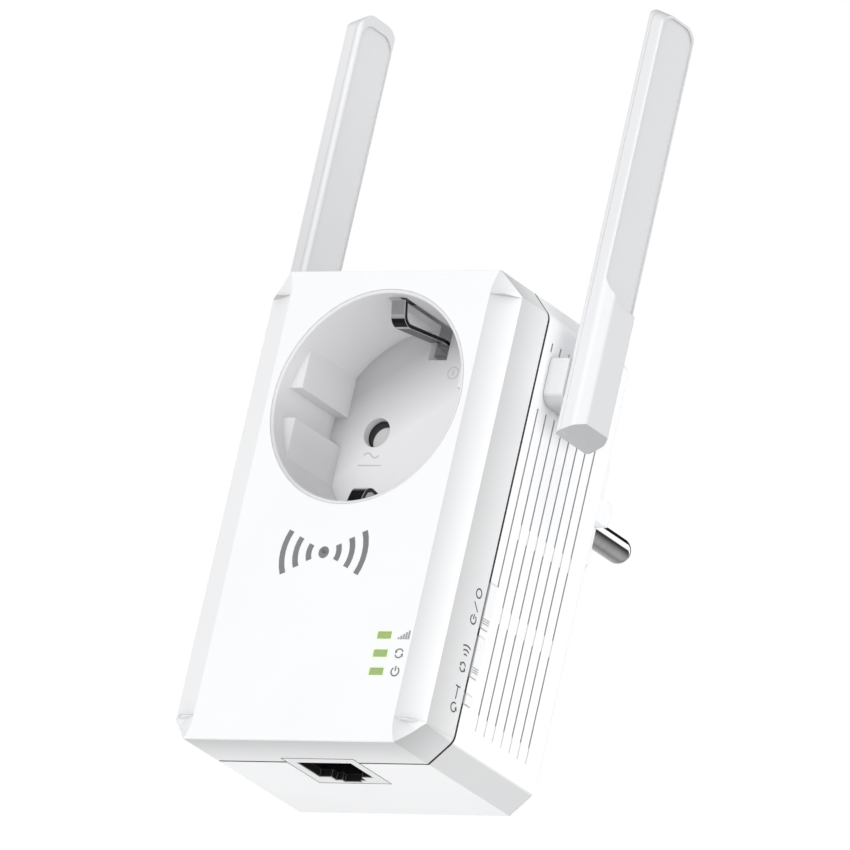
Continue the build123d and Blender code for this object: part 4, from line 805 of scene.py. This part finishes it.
def build_world():
    """White studio: plain behind the object, soft as light, panelled in reflections."""
    world = bpy.data.worlds.new("studio")
    bpy.context.scene.world = world
    world.use_nodes = True
    tree = world.node_tree
    tree.nodes.clear()

    def background(colour, strength):
        made = tree.nodes.new("ShaderNodeBackground")
        if isinstance(colour, bpy.types.NodeSocket):
            tree.links.new(colour, made.inputs["Color"])
        else:
            made.inputs["Color"].default_value = colour
        made.inputs["Strength"].default_value = strength
        return made.outputs[0]

    def choose(factor, first, second):
        made = tree.nodes.new("ShaderNodeMixShader")
        tree.links.new(factor, made.inputs[0])
        tree.links.new(first, made.inputs[1])
        tree.links.new(second, made.inputs[2])
        return made.outputs[0]

    way = tree.nodes.new("ShaderNodeSeparateXYZ")
    tree.links.new(tree.nodes.new("ShaderNodeTexCoord").outputs["Generated"], way.inputs[0])
    turn = tree.nodes.new("ShaderNodeMath")
    turn.operation = "ARCTAN2"
    tree.links.new(way.outputs[2], turn.inputs[0])
    tree.links.new(way.outputs[0], turn.inputs[1])
    share = tree.nodes.new("ShaderNodeMapRange")
    share.inputs["From Min"].default_value = -pi
    share.inputs["From Max"].default_value = pi
    tree.links.new(turn.outputs[0], share.inputs["Value"])
    panels = tree.nodes.new("ShaderNodeValToRGB")
    stops = panels.color_ramp.elements
    while len(stops) > 1:
        stops.remove(stops[-1])
    stops[0].position = 0.0
    stops[0].color = grey(PANELS[0][1])
    for degrees, tone in PANELS[1:]:
        stops.new((degrees + 180) / 360).color = grey(tone)
    tree.links.new(share.outputs[0], panels.inputs[0])

    path = tree.nodes.new("ShaderNodeLightPath")
    soft = choose(
        path.outputs["Is Glossy Ray"],
        background(grey(1.0), AMBIENT),
        background(panels.outputs[0], 1.0),
    )
    output = tree.nodes.new("ShaderNodeOutputWorld")
    seen = choose(path.outputs["Is Camera Ray"], soft, background(grey(1.0), 1.0))
    tree.links.new(seen, output.inputs[0])


LIGHT_DISTANCE = 1.2


def area_light(name, direction, size, brightness, receivers=None, shadows=True):
    """Soft light from a direction; brightness is what it adds to a white face turned to it."""
    data = bpy.data.lights.new(name, "AREA")
    data.shape = "SQUARE"
    data.size = size
    data.energy = brightness * (pi * LIGHT_DISTANCE) ** 2
    data.use_shadow = shadows
    lamp = bpy.data.objects.new(name, data)
    way = Vector(direction).normalized()
    centre = (Vector(cad_bounds[0]) + Vector(cad_bounds[1])) / 2
    lamp.location = centre + way * LIGHT_DISTANCE
    lamp.rotation_mode = "QUATERNION"
    lamp.rotation_quaternion = way.to_track_quat("Z", "Y")
    bpy.context.scene.collection.objects.link(lamp)
    lamp.visible_glossy = False
    if receivers:
        group = bpy.data.collections.new(name + "_receivers")
        for node in receivers:
            group.objects.link(NODES[node])
        lamp.light_linking.receiver_collection = group


AMBIENT = 0.60
# Tone of the studio by angle in the upright plane across the object: 0 to the right, 90 overhead
PANELS = (
    (-180, 0.60),
    (-150, 0.45),
    (-122, 0.32),
    (-100, 0.25),
    (-78, 0.38),
    (-58, 0.40),
    (-34, 0.32),
    (-10, 0.16),
    (6, 0.05),
    (18, 0.03),
    (21, 1.2),
    (74, 1.2),
    (77, 0.01),
    (152, 0.01),
    (160, 0.6),
)
BOX_FACES = ("front_cover", "rear_housing", "jack_frame")
BACK_FACES = ("rear_housing", "power_button", "pair_button", "reset_button")


def build_lights():
    area_light("key", (0.0, -1.0, -0.1), 0.9, 0.42)
    area_light("side", (1.0, -0.2, -0.3), 0.9, 0.27, shadows=False)
    area_light("low", (0.0, -0.1, -1.0), 0.9, 0.31, BOX_FACES)
    area_light("back_side", (1.0, 0.1, -0.6), 1.2, 0.32, BACK_FACES, shadows=False)
    area_light("top", (0.2, -0.2, 1.0), 1.0, 0.45, BOX_FACES)


# Camera: direction it looks from (as azimuth and elevation about the object), its roll and its distance
AZIMUTH = 37.504
ELEVATION = -17.260
ROLL = 12.817
DISTANCE = 2.5094
AIM = (-8.124 * MM, -23.301 * MM, 8.275 * MM)
LENS = 601.46


def build_camera():
    az, el, roll = radians(AZIMUTH), radians(ELEVATION), radians(ROLL)
    back = Vector((sin(az) * cos(el), -cos(az) * cos(el), sin(el)))
    level = Vector((cos(az), sin(az), 0.0))
    upright = back.cross(level)
    right = level * cos(roll) + upright * sin(roll)
    up = upright * cos(roll) - level * sin(roll)
    data = bpy.data.cameras.new("camera")
    data.lens = LENS
    data.clip_start = 0.1
    data.clip_end = 20.0
    camera = bpy.data.objects.new("camera", data)
    camera.matrix_world = Matrix.Translation(Vector(AIM) + back * DISTANCE) @ Matrix(
        (right, up, back)
    ).transposed().to_4x4()
    bpy.context.scene.collection.objects.link(camera)
    bpy.context.scene.camera = camera


# ======================================================================
# Build
# ======================================================================

build_materials()
dress_frame()
mark_face()
mark_side()
mark_socket_floor()
mark_joints()
build_floor(cad_bounds[0][2] - 0.5 * MM)
build_world()
build_lights()
build_camera()
bpy.context.scene.view_settings.view_transform = "Standard"
